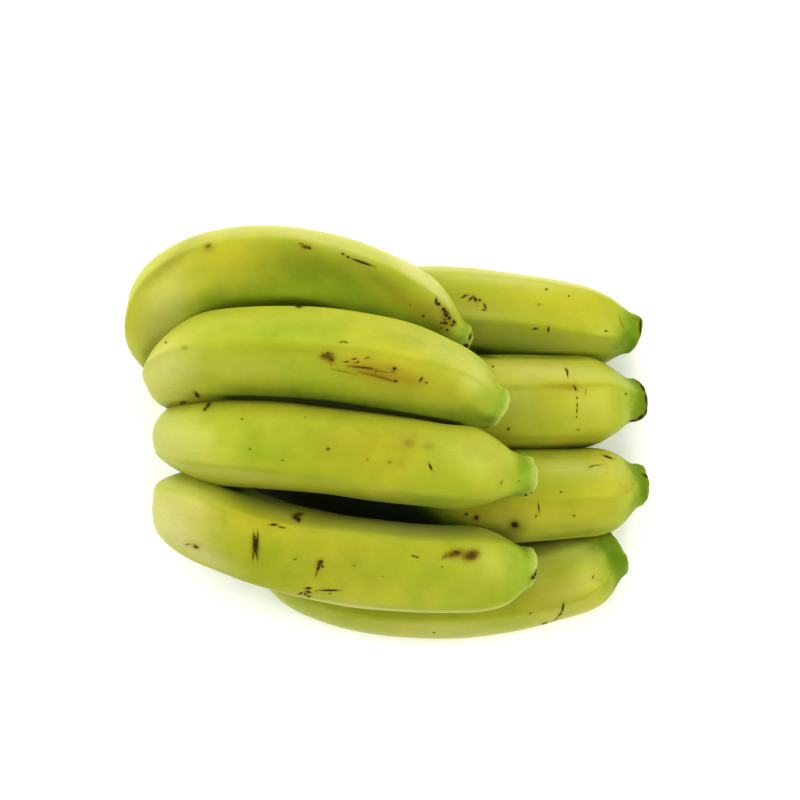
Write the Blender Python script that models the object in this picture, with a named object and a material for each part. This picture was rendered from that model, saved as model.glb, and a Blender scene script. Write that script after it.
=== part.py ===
"""A hand of eight green-yellow bananas on one crown, as one closed body.

Metres, +Z up. It lies with its hollow side down: the crown's cut face and the two
outer fingers of the lower row touch the table, and the tips point towards +X.
Path points below are millimetres from the axis that the picture was taken along;
the finished body is moved so that the origin is the middle of its underside.
"""
import math
from dataclasses import dataclass, field

import bmesh
import bpy
import numpy as np

MM = 0.001
SIDES = 20
RINGS = 26
FACETS = 5
FACET_POWER = 6.0
STALK_RADIUS = 6.3
STUB_LENGTH = 4.5
SLIM_SHARE = 0.98
BELLY_SWELL = 0.03
SHOULDER_POWER = 0.95
BLEND_POWER = 5.0
END_ROUNDING = 2.0
END_SHARE = 0.72
END_DOME = 0.6
LEAST_FLAT = 0.15
FLATS_BEGIN = (10.0, 35.0)
FLATS_FADE = 22.0
CROWN_MIDDLE = (-70.0, -13.5)
CROWN_HALF_LENGTH = 31.0
CROWN_HALF_WIDTH = 15.5
CROWN_HEIGHT = 27.0
CROWN_DOME = 0.8
CROWN_SQUARENESS = 2.6
CROWN_SIDES = 32
CROWN_PROFILE = [(0.0, 0.96), (0.035, 1.0), (0.18, 0.985), (0.38, 0.985),
                 (0.57, 0.97), (0.73, 0.9), (0.88, 0.74), (1.0, 0.45)]
MERGE_DISTANCE = 2e-5
SHARP_ANGLE = math.radians(50.0)
SKIN_COLOUR = (0.45, 0.52, 0.07, 1.0)


@dataclass
class Finger:
    """One finger: its centreline, thickness and the turn of its soft facets."""

    name: str
    body_radius: float
    neck: tuple[float, float]
    shoulder: float
    stub_radius: float
    roll: float
    path: list[tuple[float, float, float]] = field(default_factory=list)


INNER_NECK = (14.0, 56.0)

FINGERS = [
    Finger("outer_1", 14.9, (18.0, 60.0), 27.0, 7.6, -34.0, [
        (-74, 7, 8), (-81, 11, 16), (-91, 18, 24), (-95.3, 30, 34), (-87, 42.3, 43),
        (-66.5, 50.7, 47.5), (-36, 50.3, 48.5), (-7.5, 41, 48), (8.5, 31.8, 46.8), (25, 21, 42)]),
    Finger("outer_2", 16.8, (20.0, 72.0), 27.0, 7.6, -4.0, [
        (-74, -7, 10), (-80, -4, 19), (-87, 2, 29), (-89.5, 9, 41), (-81, 14, 53.5),
        (-60, 17.5, 64), (-26, 16.5, 69.3), (0, 11.8, 69), (22, 5.5, 65), (38.5, -3.5, 57)]),
    Finger("outer_3", 16.3, (18.0, 68.0), 33.0, 7.6, 0.0, [
        (-74, -21, 10), (-79, -20, 19), (-85, -17.5, 29), (-86.5, -15.7, 41), (-78.5, -15.7, 53.5),
        (-58, -17.1, 63.5), (-26, -19.8, 68.8), (0, -23.6, 68.6), (27, -27.2, 64.6), (49.5, -30, 56.7)]),
    Finger("outer_4", 16.4, (16.0, 60.0), 27.0, 7.6, 0.0, [
        (-74, -34, 8), (-80, -36.5, 16), (-86, -39.5, 25), (-87.5, -42, 36.5), (-78, -46, 47),
        (-54, -54, 53), (-27, -60, 55.8), (0, -63.5, 55.5), (27, -64.5, 52), (49.5, -63.5, 44.5)]),
    Finger("inner_1", 15.6, INNER_NECK, 27.0, 6.5, 0.0, [
        (-66, 6, 14), (-59, 11, 22), (-46, 19.5, 23.5), (-22, 31, 18.5), (5, 36.5, 15.8),
        (31, 35, 15.8), (52, 33, 15.4), (72, 30.2, 14.4), (95, 26.5, 10)]),
    Finger("inner_2", 17.1, INNER_NECK, 27.0, 8.2, 0.0, [
        (-66, -7, 15), (-58, -6, 23.5), (-45, -4, 28), (-20, -1.3, 29.5), (10, -1.5, 30.3),
        (31, -1.5, 30), (51, -1.5, 28.5), (73, -1, 23.5), (96, 0, 14)]),
    Finger("inner_3", 16.8, INNER_NECK, 27.0, 7.9, 0.0, [
        (-66, -21, 15), (-58, -22.5, 23.5), (-45, -26.5, 28), (-20, -33.8, 29.5), (10, -37, 30.3),
        (31, -37.5, 30.5), (51, -37, 28.5), (73, -35.5, 23.5), (97, -33, 14)]),
    Finger("inner_4", 16.4, INNER_NECK, 27.0, 8.2, 0.0, [
        (-66, -33, 11), (-63, -41, 17.5), (-56, -53, 20), (-41, -66, 19), (-18, -75, 16.6),
        (8, -78, 16.8), (30, -77.5, 16.5), (55, -73, 15.5), (74, -66, 13), (87, -59.5, 9)]),
]


def clear_scene() -> None:
    """Remove every object of the opening scene."""
    for obj in list(bpy.data.objects):
        bpy.data.objects.remove(obj, do_unlink=True)


def smooth_step(x: np.ndarray) -> np.ndarray:
    """Ease from 0 to 1 with no slope at either end."""
    x = np.clip(x, 0.0, 1.0)
    return x * x * (3.0 - 2.0 * x)


def smooth_curve(points: list[tuple[float, float, float]]) -> tuple[np.ndarray, np.ndarray]:
    """Natural cubic spline through the points, as fine points and lengths along it."""
    knots = np.array(points, dtype=float)
    chords = np.linalg.norm(np.diff(knots, axis=0), axis=1) ** 0.75
    t = np.concatenate([[0.0], np.cumsum(chords)])
    n = len(t)
    h = np.diff(t)
    slopes = np.diff(knots, axis=0) / h[:, None]
    system = np.eye(n)
    right = np.zeros((n, 3))
    for i in range(1, n - 1):
        system[i, i - 1:i + 2] = (h[i - 1], 2.0 * (h[i - 1] + h[i]), h[i])
        right[i] = 6.0 * (slopes[i] - slopes[i - 1])
    m = np.linalg.solve(system, right)
    s = np.linspace(0.0, t[-1], 2001)
    i = np.clip(np.searchsorted(t, s, side="right") - 1, 0, n - 2)
    u = (s - t[i])[:, None]
    v = (t[i + 1] - s)[:, None]
    w = h[i][:, None]
    fine = (m[i] * v ** 3 + m[i + 1] * u ** 3) / (6.0 * w)
    fine += (knots[i] / w - m[i] * w / 6.0) * v + (knots[i + 1] / w - m[i + 1] * w / 6.0) * u
    steps = np.linalg.norm(np.diff(fine, axis=0), axis=1)
    return fine, np.concatenate([[0.0], np.cumsum(steps)])


def stations(total: float, shoulder: float) -> np.ndarray:
    """Lengths along a finger for its rings, closest together at the shoulder and tip."""
    s = np.linspace(0.0, total - END_ROUNDING, 400)
    density = 1.0 + 1.4 * smooth_step((s - total + shoulder + 8.0) / 8.0)
    density += 0.35 * (1.0 - smooth_step((s - 60.0) / 20.0))
    share = np.concatenate([[0.0], np.cumsum(0.5 * (density[1:] + density[:-1]))])
    main = np.interp(np.linspace(0.0, share[-1], RINGS), share, s)
    return np.concatenate([main, total - END_ROUNDING * np.array([0.55, 0.2, 0.0])])


def radius_along(finger: Finger, s: np.ndarray, total: float) -> np.ndarray:
    """Mean radius: stalk, widening neck, body, shoulder, and the stub at the tip."""
    start, full = finger.neck
    past = s - (total - finger.shoulder)
    widening = smooth_step((s - start) / (full - start))
    body = STALK_RADIUS + (SLIM_SHARE * finger.body_radius - STALK_RADIUS) * widening
    belly = np.clip((s - full) / (total - full), 0.0, 1.0)
    body *= 1.0 + BELLY_SWELL * np.sin(math.pi * belly)
    shoulder = body * (1.0 - np.clip(past / (finger.shoulder - STUB_LENGTH), 0.0, 1.0) ** 2) ** SHOULDER_POWER
    stub = finger.stub_radius * smooth_step(2.0 * past / finger.shoulder)
    left = np.clip((total - s) / END_ROUNDING, 0.0, 1.0)
    rounding = END_SHARE + (1.0 - END_SHARE) * np.sqrt(1.0 - (1.0 - left) ** 2)
    return (shoulder ** BLEND_POWER + stub ** BLEND_POWER) ** (1.0 / BLEND_POWER) * rounding


def soft_pentagon(angles: np.ndarray, roll: float) -> np.ndarray:
    """Radius factor round the finger: five soft flats, with a mean of one."""
    total = np.zeros_like(angles)
    for i in range(FACETS):
        total += np.clip(np.cos(angles - roll - 2.0 * math.pi * i / FACETS), 0.0, None) ** FACET_POWER
    factor = total ** (-1.0 / FACET_POWER)
    return factor / factor.mean()


def finger_rings(finger: Finger) -> np.ndarray:
    """Rings of points, in millimetres, along one finger from its root to its tip."""
    fine, lengths = smooth_curve(finger.path)
    total = lengths[-1]
    s = stations(total, finger.shoulder)
    middle = np.stack([np.interp(s, lengths, fine[:, k]) for k in range(3)], axis=1)
    tangent = np.stack([np.interp(s, lengths, np.gradient(fine[:, k])) for k in range(3)], axis=1)
    tangent /= np.linalg.norm(tangent, axis=1)[:, None]
    path = np.array(finger.path, dtype=float)
    half = path[len(path) // 2]
    side = np.cross(half - path[1], path[-1] - half)
    side /= np.linalg.norm(side)
    side = side - (tangent @ side)[:, None] * tangent
    side /= np.linalg.norm(side, axis=1)[:, None]
    inward = np.cross(side, tangent)
    angles = np.linspace(0.0, 2.0 * math.pi, SIDES, endpoint=False)
    flats = soft_pentagon(angles, math.radians(finger.roll)) - 1.0
    amount = smooth_step((s - FLATS_BEGIN[0]) / (FLATS_BEGIN[1] - FLATS_BEGIN[0]))
    amount = LEAST_FLAT + (1.0 - LEAST_FLAT) * amount * smooth_step((total - s) / FLATS_FADE)
    reach = radius_along(finger, s, total)[:, None] * (1.0 + amount[:, None] * flats)
    rings = middle[:, None] + reach[..., None] * (
        np.cos(angles)[None, :, None] * inward[:, None] + np.sin(angles)[None, :, None] * side[:, None])
    rings[..., 2] = np.maximum(rings[..., 2], 0.0)
    return rings


def crown_rings() -> np.ndarray:
    """Rings of points, in millimetres, up the crown from its cut face."""
    profile = np.array(CROWN_PROFILE)
    heights = CROWN_HEIGHT * profile[:, 0]
    scale = profile[:, 1]
    angles = np.linspace(0.0, 2.0 * math.pi, CROWN_SIDES, endpoint=False)
    power = 2.0 / CROWN_SQUARENESS
    x = CROWN_HALF_WIDTH * np.sign(np.cos(angles)) * np.abs(np.cos(angles)) ** power
    y = CROWN_HALF_LENGTH * np.sign(np.sin(angles)) * np.abs(np.sin(angles)) ** power
    rings = np.zeros((len(heights), len(angles), 3))
    rings[..., 0] = CROWN_MIDDLE[0] + scale[:, None] * x
    rings[..., 1] = CROWN_MIDDLE[1] + scale[:, None] * y
    rings[..., 2] = heights[:, None]
    return rings


def closed_loft(name: str, rings: np.ndarray, dome: float) -> bpy.types.Object:
    """Closed object from rings, with a fan over each end and the last one raised by dome."""
    count, sides = rings.shape[:2]
    last_way = rings[-1].mean(axis=0) - rings[-2].mean(axis=0)
    last_way /= np.linalg.norm(last_way)
    ends = np.stack([rings[0].mean(axis=0), rings[-1].mean(axis=0) + dome * last_way])
    points = np.concatenate([rings.reshape(-1, 3), ends]) * MM
    a = (np.arange(count - 1)[:, None] * sides + np.arange(sides)[None]).ravel()
    b = (np.arange(count - 1)[:, None] * sides + (np.arange(sides)[None] + 1) % sides).ravel()
    faces = np.stack([a, b, b + sides, a + sides], axis=1).tolist()
    top = (count - 1) * sides
    for j in range(sides):
        k = (j + 1) % sides
        faces.append([count * sides, k, j])
        faces.append([count * sides + 1, top + j, top + k])
    mesh = bpy.data.meshes.new(name)
    mesh.from_pydata(points.tolist(), [], faces)
    bm = bmesh.new()
    bm.from_mesh(mesh)
    bmesh.ops.remove_doubles(bm, verts=bm.verts, dist=1e-6)
    bmesh.ops.recalc_face_normals(bm, faces=bm.faces)
    bm.to_mesh(mesh)
    bm.free()
    return bpy.data.objects.new(name, mesh)


def join_all(base: bpy.types.Object, parts: list[bpy.types.Object]) -> None:
    """Union the parts with the base in one Boolean step and remove them."""
    group = bpy.data.collections.new("fingers")
    bpy.context.scene.collection.children.link(group)
    for part in parts:
        group.objects.link(part)
    step = base.modifiers.new("grown_together", "BOOLEAN")
    step.operation = "UNION"
    step.operand_type = "COLLECTION"
    step.collection = group
    step.solver = "EXACT"
    step.use_self = True
    bpy.context.view_layer.update()
    seen = base.evaluated_get(bpy.context.evaluated_depsgraph_get())
    joined = bpy.data.meshes.new_from_object(seen)
    base.modifiers.clear()
    base.data = joined
    for part in parts:
        bpy.data.objects.remove(part, do_unlink=True)
    bpy.data.collections.remove(group)


def finish_body(obj: bpy.types.Object) -> None:
    """Tidy the joined mesh, stand it on its own middle and give it its material."""
    bm = bmesh.new()
    bm.from_mesh(obj.data)
    bmesh.ops.remove_doubles(bm, verts=bm.verts, dist=MERGE_DISTANCE)
    bmesh.ops.dissolve_degenerate(bm, edges=bm.edges, dist=MERGE_DISTANCE)
    bmesh.ops.triangulate(bm, faces=bm.faces)
    bmesh.ops.recalc_face_normals(bm, faces=bm.faces)
    points = np.array([v.co for v in bm.verts])
    low = points.min(axis=0)
    high = points.max(axis=0)
    shift = np.array([0.5 * (low[0] + high[0]), 0.5 * (low[1] + high[1]), low[2]])
    bmesh.ops.translate(bm, verts=bm.verts, vec=(-shift).tolist())
    print("moved by mm", (-shift / MM).round(3).tolist(), "size mm", ((high - low) / MM).round(2).tolist())
    bm.to_mesh(obj.data)
    bm.free()
    skin = bpy.data.materials.new("banana_skin")
    skin.use_nodes = True
    shader = skin.node_tree.nodes["Principled BSDF"]
    shader.inputs["Base Color"].default_value = SKIN_COLOUR
    shader.inputs["Roughness"].default_value = 0.45
    obj.data.materials.clear()
    obj.data.materials.append(skin)
    obj.data.shade_smooth()
    obj.data.set_sharp_from_angle(angle=SHARP_ANGLE)


def build() -> None:
    """Make the hand of bananas."""
    clear_scene()
    hand = closed_loft("banana_hand", crown_rings(), CROWN_DOME)
    bpy.context.scene.collection.objects.link(hand)
    join_all(hand, [closed_loft(f.name, finger_rings(f), END_DOME) for f in FINGERS])
    finish_body(hand)


build()
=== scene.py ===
"""A hand of eight green-yellow bananas, dressed for a soft studio photograph from straight above.

Lengths are millimetres from the axis that the picture was taken along, as in the part's own
source, until a mesh is made; then they are metres in the part's frame.

PATCH is how far apart in the noise the fingers take their patches. A point holds a mark within
MARK_CATCH of it, UNMARKED is a coordinate that no mark reaches, and NOWHERE is no near gap.
"""
import logging
import math
from collections.abc import Sequence
from dataclasses import dataclass, field
from enum import Enum

import bpy
import numpy as np
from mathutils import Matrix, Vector


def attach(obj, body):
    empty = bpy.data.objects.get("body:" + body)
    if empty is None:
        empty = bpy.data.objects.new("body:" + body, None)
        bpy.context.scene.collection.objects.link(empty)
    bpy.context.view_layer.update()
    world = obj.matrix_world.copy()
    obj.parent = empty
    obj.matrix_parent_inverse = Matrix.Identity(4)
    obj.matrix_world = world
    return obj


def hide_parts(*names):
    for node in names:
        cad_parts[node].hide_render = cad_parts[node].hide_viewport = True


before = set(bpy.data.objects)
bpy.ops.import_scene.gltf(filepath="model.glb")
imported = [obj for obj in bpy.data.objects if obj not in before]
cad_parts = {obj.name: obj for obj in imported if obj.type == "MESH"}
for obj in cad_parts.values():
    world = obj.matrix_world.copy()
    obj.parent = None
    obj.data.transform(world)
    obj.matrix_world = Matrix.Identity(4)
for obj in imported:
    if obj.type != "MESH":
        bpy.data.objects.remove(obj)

LOG = logging.getLogger("bananas")
MM = 0.001
AXIS_PLACE = np.array([3.516, 13.933, 0.0])
NODE = "banana_hand"
BODY = "root"
CURVE_POINTS = 2001
SECTION_POINTS = 720
MM_A_PIXEL = 0.38
PATCH = 200.0
MARK_LAYERS = 3
MARK_CATCH = 1.9
UNMARKED = 9.0
NOWHERE = 99.0


def smooth_step(x: np.ndarray) -> np.ndarray:
    """The cubic 3x² - 2x³ on x held between 0 and 1."""
    x = np.clip(x, 0.0, 1.0)
    return x * x * (3.0 - 2.0 * x)


def unit(vectors: np.ndarray) -> np.ndarray:
    """Vectors divided by their own lengths."""
    return vectors / np.linalg.norm(vectors, axis=-1, keepdims=True)


def linear(colour: tuple[int, int, int]) -> tuple[float, float, float, float]:
    """The linear RGBA colour of three display values from 0 to 255."""
    parts = np.array(colour) / 255.0
    made = np.where(parts <= 0.04045, parts / 12.92, ((parts + 0.055) / 1.055) ** 2.4)
    return (float(made[0]), float(made[1]), float(made[2]), 1.0)


def smooth_curve(points: Sequence[tuple[float, float, float]]) -> tuple[np.ndarray, np.ndarray]:
    """A natural cubic spline through the points, against the chord lengths to the power 0.75.

    Args:
        points: the points that the curve goes through, in millimetres.

    Returns:
        Evenly spread points on the curve, and the length of the curve up to each.
    """
    knots = np.array(points, dtype=float)
    chords = np.linalg.norm(np.diff(knots, axis=0), axis=1) ** 0.75
    t = np.concatenate([[0.0], np.cumsum(chords)])
    n = len(t)
    h = np.diff(t)
    slopes = np.diff(knots, axis=0) / h[:, None]
    system = np.eye(n)
    right = np.zeros((n, 3))
    for i in range(1, n - 1):
        system[i, i - 1:i + 2] = (h[i - 1], 2.0 * (h[i - 1] + h[i]), h[i])
        right[i] = 6.0 * (slopes[i] - slopes[i - 1])
    bend = np.linalg.solve(system, right)
    s = np.linspace(0.0, t[-1], CURVE_POINTS)
    i = np.clip(np.searchsorted(t, s, side="right") - 1, 0, n - 2)
    u = (s - t[i])[:, None]
    v = (t[i + 1] - s)[:, None]
    w = h[i][:, None]
    fine = (bend[i] * v ** 3 + bend[i + 1] * u ** 3) / (6.0 * w)
    fine += (knots[i] / w - bend[i] * w / 6.0) * v + (knots[i + 1] / w - bend[i + 1] * w / 6.0) * u
    steps = np.linalg.norm(np.diff(fine, axis=0), axis=1)
    return fine, np.concatenate([[0.0], np.cumsum(steps)])


def outward(angles: np.ndarray, inward: np.ndarray, side: np.ndarray) -> np.ndarray:
    """Directions cos a inward + sin a side, for every row of a tube and every angle round it."""
    ahead = np.cos(angles)[None, :, None] * inward[:, None]
    return ahead + np.sin(angles)[None, :, None] * side[:, None]


def put(name: str, data: bpy.types.ID) -> bpy.types.Object:
    """A new object of this name in the scene, at the origin."""
    made = bpy.data.objects.new(name, data)
    bpy.context.scene.collection.objects.link(made)
    return made


@dataclass
class Surface:
    """Points, faces and named values of one mesh, worked out before Blender gets it."""

    points: np.ndarray
    quads: np.ndarray
    triangles: np.ndarray
    values: dict[str, np.ndarray] = field(default_factory=dict)

    def mesh(self, name: str) -> bpy.types.Mesh:
        """Put the surface into a new mesh, moved into the part's frame.

        Args:
            name: the mesh's name.

        Returns:
            The smooth-shaded mesh, with one attribute for each named value.
        """
        made = bpy.data.meshes.new(name)
        places = (self.points + AXIS_PLACE) * MM
        made.vertices.add(len(places))
        made.vertices.foreach_set("co", places.astype(np.float32).ravel())
        corners = np.concatenate([self.quads.ravel(), self.triangles.ravel()])
        sizes = np.concatenate([np.full(len(self.quads), 4), np.full(len(self.triangles), 3)])
        made.loops.add(len(corners))
        made.loops.foreach_set("vertex_index", corners.astype(np.int32))
        made.polygons.add(len(sizes))
        made.polygons.foreach_set("loop_start", (np.cumsum(sizes) - sizes).astype(np.int32))
        made.update(calc_edges=True)
        made.shade_smooth()
        store_values(made, self.values)
        return made


def store_values(mesh: bpy.types.Mesh, values: dict[str, np.ndarray]) -> None:
    """Store numbers (n) or vectors (n, 3) on a mesh's vertices, one attribute for each name."""
    for name, numbers in values.items():
        kind, key = ("FLOAT_VECTOR", "vector") if numbers.ndim == 2 else ("FLOAT", "value")
        attribute = mesh.attributes.new(name, kind, "POINT")
        attribute.data.foreach_set(key, numbers.astype(np.float32).ravel())


def tube_faces(rows: int, columns: int) -> tuple[np.ndarray, np.ndarray]:
    """Faces of a closed tube of rows of points, with a middle point at each end.

    The points are the rows in order, then the middle of the first row, then that of the last.

    Args:
        rows: how many rows there are along the tube.
        columns: how many points there are round it.

    Returns:
        The quads between the rows, and the triangles that close the ends, all facing out.
    """
    j = np.arange(columns)
    k = (j + 1) % columns
    i = np.arange(rows - 1)[:, None] * columns
    quads = np.stack([i + j, i + k, i + columns + k, i + columns + j], axis=-1).reshape(-1, 4)
    first = np.full(columns, rows * columns)
    last = (rows - 1) * columns
    start = np.stack([first, k, j], axis=-1)
    end = np.stack([last + j, last + k, first + 1], axis=-1)
    return quads, np.concatenate([start, end])


@dataclass(frozen=True)
class PictureView:
    """The straight-down camera: how millimetres on the part become pixels of the photograph."""

    height: float = 900.0
    lens: float = 100.0
    sensor: float = 36.0
    side: float = 800.0

    def pixels(self, points: np.ndarray) -> np.ndarray:
        """Pixel places, x to the right and y down, of points in millimetres from the axis."""
        reach = self.lens / self.sensor * self.side / (self.height - points[..., 2:3])
        return 0.5 * self.side + points[..., :2] * reach * np.array([1.0, -1.0])


@dataclass(frozen=True)
class Mark:
    """One dark or tan blemish of the skin, by its place and half sizes in the photograph's pixels.

    The turn is degrees against the clock. The tone goes from pale tan at 0 to black at 1, and
    ragged and soft say how uneven and how blurred its edge is.
    """

    x: float
    y: float
    long: float
    wide: float
    turn: float = 0.0
    tone: float = 0.85
    ragged: float = 0.5
    soft: float = 0.3


@dataclass(frozen=True)
class Smear:
    """A soft patch placed in the photograph's pixels: brown, warm or green skin; pale, which is paler skin
    and painted light; and dark, which is painted shade.

    Its tints are strengths at the middle, and a negative one takes some of that tint away, so a negative
    dark is painted light.
    """

    x: float
    y: float
    long: float
    wide: float
    turn: float = 0.0
    brown: float = 0.0
    warm: float = 0.0
    green: float = 0.0
    pale_and_painted_light: float = 0.0
    # dark is painted shade, added to the painted shade between the fingers; a negative dark is painted
    # light
    dark: float = 0.0


@dataclass
class Blemish:
    """A mark laid on one finger.

    It holds its own coordinates at every point, in half lengths and half widths, the gap from
    it to every point, its middle and its reach in millimetres, and its tone, ragged and soft.
    """

    across: np.ndarray
    gap: np.ndarray
    centre: np.ndarray
    reach: float
    kind: tuple[float, float, float]


class Field:
    """One output of a node, carried on with Python's operators."""

    def __init__(self, sheet: "NodeSheet", socket: bpy.types.NodeSocket) -> None:
        """Keep the sheet that the node is on and the socket."""
        self.sheet = sheet
        self.socket = socket

    def maths(self, operation: str, *values: object) -> "Field":
        """A Math node of this operation on the values, in their order."""
        made = self.sheet.add("ShaderNodeMath", {"operation": operation}, dict(enumerate(values)))
        return Field(self.sheet, made.outputs[0])

    def __add__(self, other: object) -> "Field":
        """self + other."""
        return self.maths("ADD", self, other)

    def __sub__(self, other: object) -> "Field":
        """self - other."""
        return self.maths("SUBTRACT", self, other)

    def __truediv__(self, other: object) -> "Field":
        """self / other."""
        return self.maths("DIVIDE", self, other)

    def __rsub__(self, other: object) -> "Field":
        """other - self."""
        return self.maths("SUBTRACT", other, self)

    def __mul__(self, other: object) -> "Field":
        """self * other."""
        return self.maths("MULTIPLY", self, other)

    __radd__ = __add__

    def held(self) -> "Field":
        """The value held between 0 and 1."""
        return self.maths("MINIMUM", self.maths("MAXIMUM", self, 0.0), 1.0)

    def rise(self, low: float, high: float) -> "Field":
        """A smooth step, 0 below low and 1 above high, or turned round where low is above high."""
        top, bottom = (1.0, 0.0) if low < high else (0.0, 1.0)
        made = self.sheet.add(
            "ShaderNodeMapRange", {"interpolation_type": "SMOOTHSTEP"},
            {"Value": self, "From Min": min(low, high), "From Max": max(low, high),
             "To Min": bottom, "To Max": top})
        return Field(self.sheet, made.outputs["Result"])


@dataclass(frozen=True)
class Grain:
    """Noise on a finish: lumps to a unit of length, detail, roughness, and a stretch each way."""

    scale: float
    detail: float = 2.0
    roughness: float = 0.5
    stretch: tuple[float, float, float] | None = None


class NodeSheet:
    """The node tree of one finish, with its Principled shader and its output."""

    BUMP_STRENGTH = 0.8

    def __init__(self, name: str) -> None:
        """Start a material of this name with nothing but a Principled shader and the output."""
        self.material = bpy.data.materials.new(name)
        self.material.use_nodes = True
        self.tree = self.material.node_tree
        self.tree.nodes.clear()
        self.shader = self.tree.nodes.new("ShaderNodeBsdfPrincipled")
        out = self.tree.nodes.new("ShaderNodeOutputMaterial")
        self.tree.links.new(self.shader.outputs["BSDF"], out.inputs["Surface"])

    def add(self, kind: str, settings: dict[str, object], inputs: dict[object, object]) -> bpy.types.Node:
        """Any node.

        Args:
            kind: the node's type.
            settings: its own settings, which are set first.
            inputs: the value or the Field of each input, by the input's name or number.

        Returns:
            The node.
        """
        node = self.tree.nodes.new(kind)
        for name, value in settings.items():
            setattr(node, name, value)
        for key, value in inputs.items():
            self.feed(node, key, value)
        return node

    def feed(self, node: bpy.types.Node, key: object, value: object) -> None:
        """Link a Field to a node's input, or set the input to a value."""
        if isinstance(value, Field):
            self.tree.links.new(value.socket, node.inputs[key])
        else:
            node.inputs[key].default_value = value

    def attribute(self, name: str, output: str = "Fac") -> Field:
        """A number stored on the mesh, or with output "Vector" a vector."""
        return Field(self, self.add("ShaderNodeAttribute", {"attribute_name": name}, {}).outputs[output])

    def parts(self, vector: Field) -> tuple[Field, Field, Field]:
        """The three numbers of a vector."""
        node = self.add("ShaderNodeSeparateXYZ", {}, {0: vector})
        return Field(self, node.outputs[0]), Field(self, node.outputs[1]), Field(self, node.outputs[2])

    def vectors(self, operation: str, first: object, second: object, output: str = "Vector") -> Field:
        """A Vector Math node of this operation on two vectors."""
        node = self.add("ShaderNodeVectorMath", {"operation": operation}, {0: first, 1: second})
        return Field(self, node.outputs[output])

    def noise(self, place: Field, grain: Grain) -> Field:
        """Soft noise on a vector, near 0.5 on average."""
        if grain.stretch is not None:
            place = self.vectors("MULTIPLY", place, grain.stretch)
        node = self.add("ShaderNodeTexNoise", {},
                        {"Vector": place, "Scale": grain.scale, "Detail": grain.detail,
                         "Roughness": grain.roughness})
        return Field(self, node.outputs["Fac"])

    def blend(self, share: object, first: object, second: object, mode: str = "MIX") -> Field:
        """The first colour where share is 0 and the second where it is 1."""
        node = self.add("ShaderNodeMix", {"data_type": "RGBA", "blend_type": mode},
                        {0: share, 6: first, 7: second})
        return Field(self, node.outputs[2])

    def bump(self, height: Field) -> Field:
        """A normal bent by a height in metres."""
        inputs = {"Height": height, "Strength": self.BUMP_STRENGTH, "Distance": 1.0}
        return Field(self, self.add("ShaderNodeBump", {}, inputs).outputs["Normal"])

    def dress(self, **sockets: object) -> bpy.types.Material:
        """Set or link the shader's sockets, named with _ for a space, and return the material."""
        for name, value in sockets.items():
            self.feed(self.shader, name.replace("_", " ").title().replace("Ior", "IOR"), value)
        return self.material


@dataclass(frozen=True)
class SkinReadings:
    """What the peel's finish reads on the mesh, and the noises laid on the unrolled skin."""

    straight: Field
    from_tip: Field
    from_root: Field
    brown: Field
    warm: Field
    green: Field
    painted_shade: Field
    deep: Field
    scarred: Field
    face: Field
    cloud: Field
    speck: Field
    fibre: Field


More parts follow.
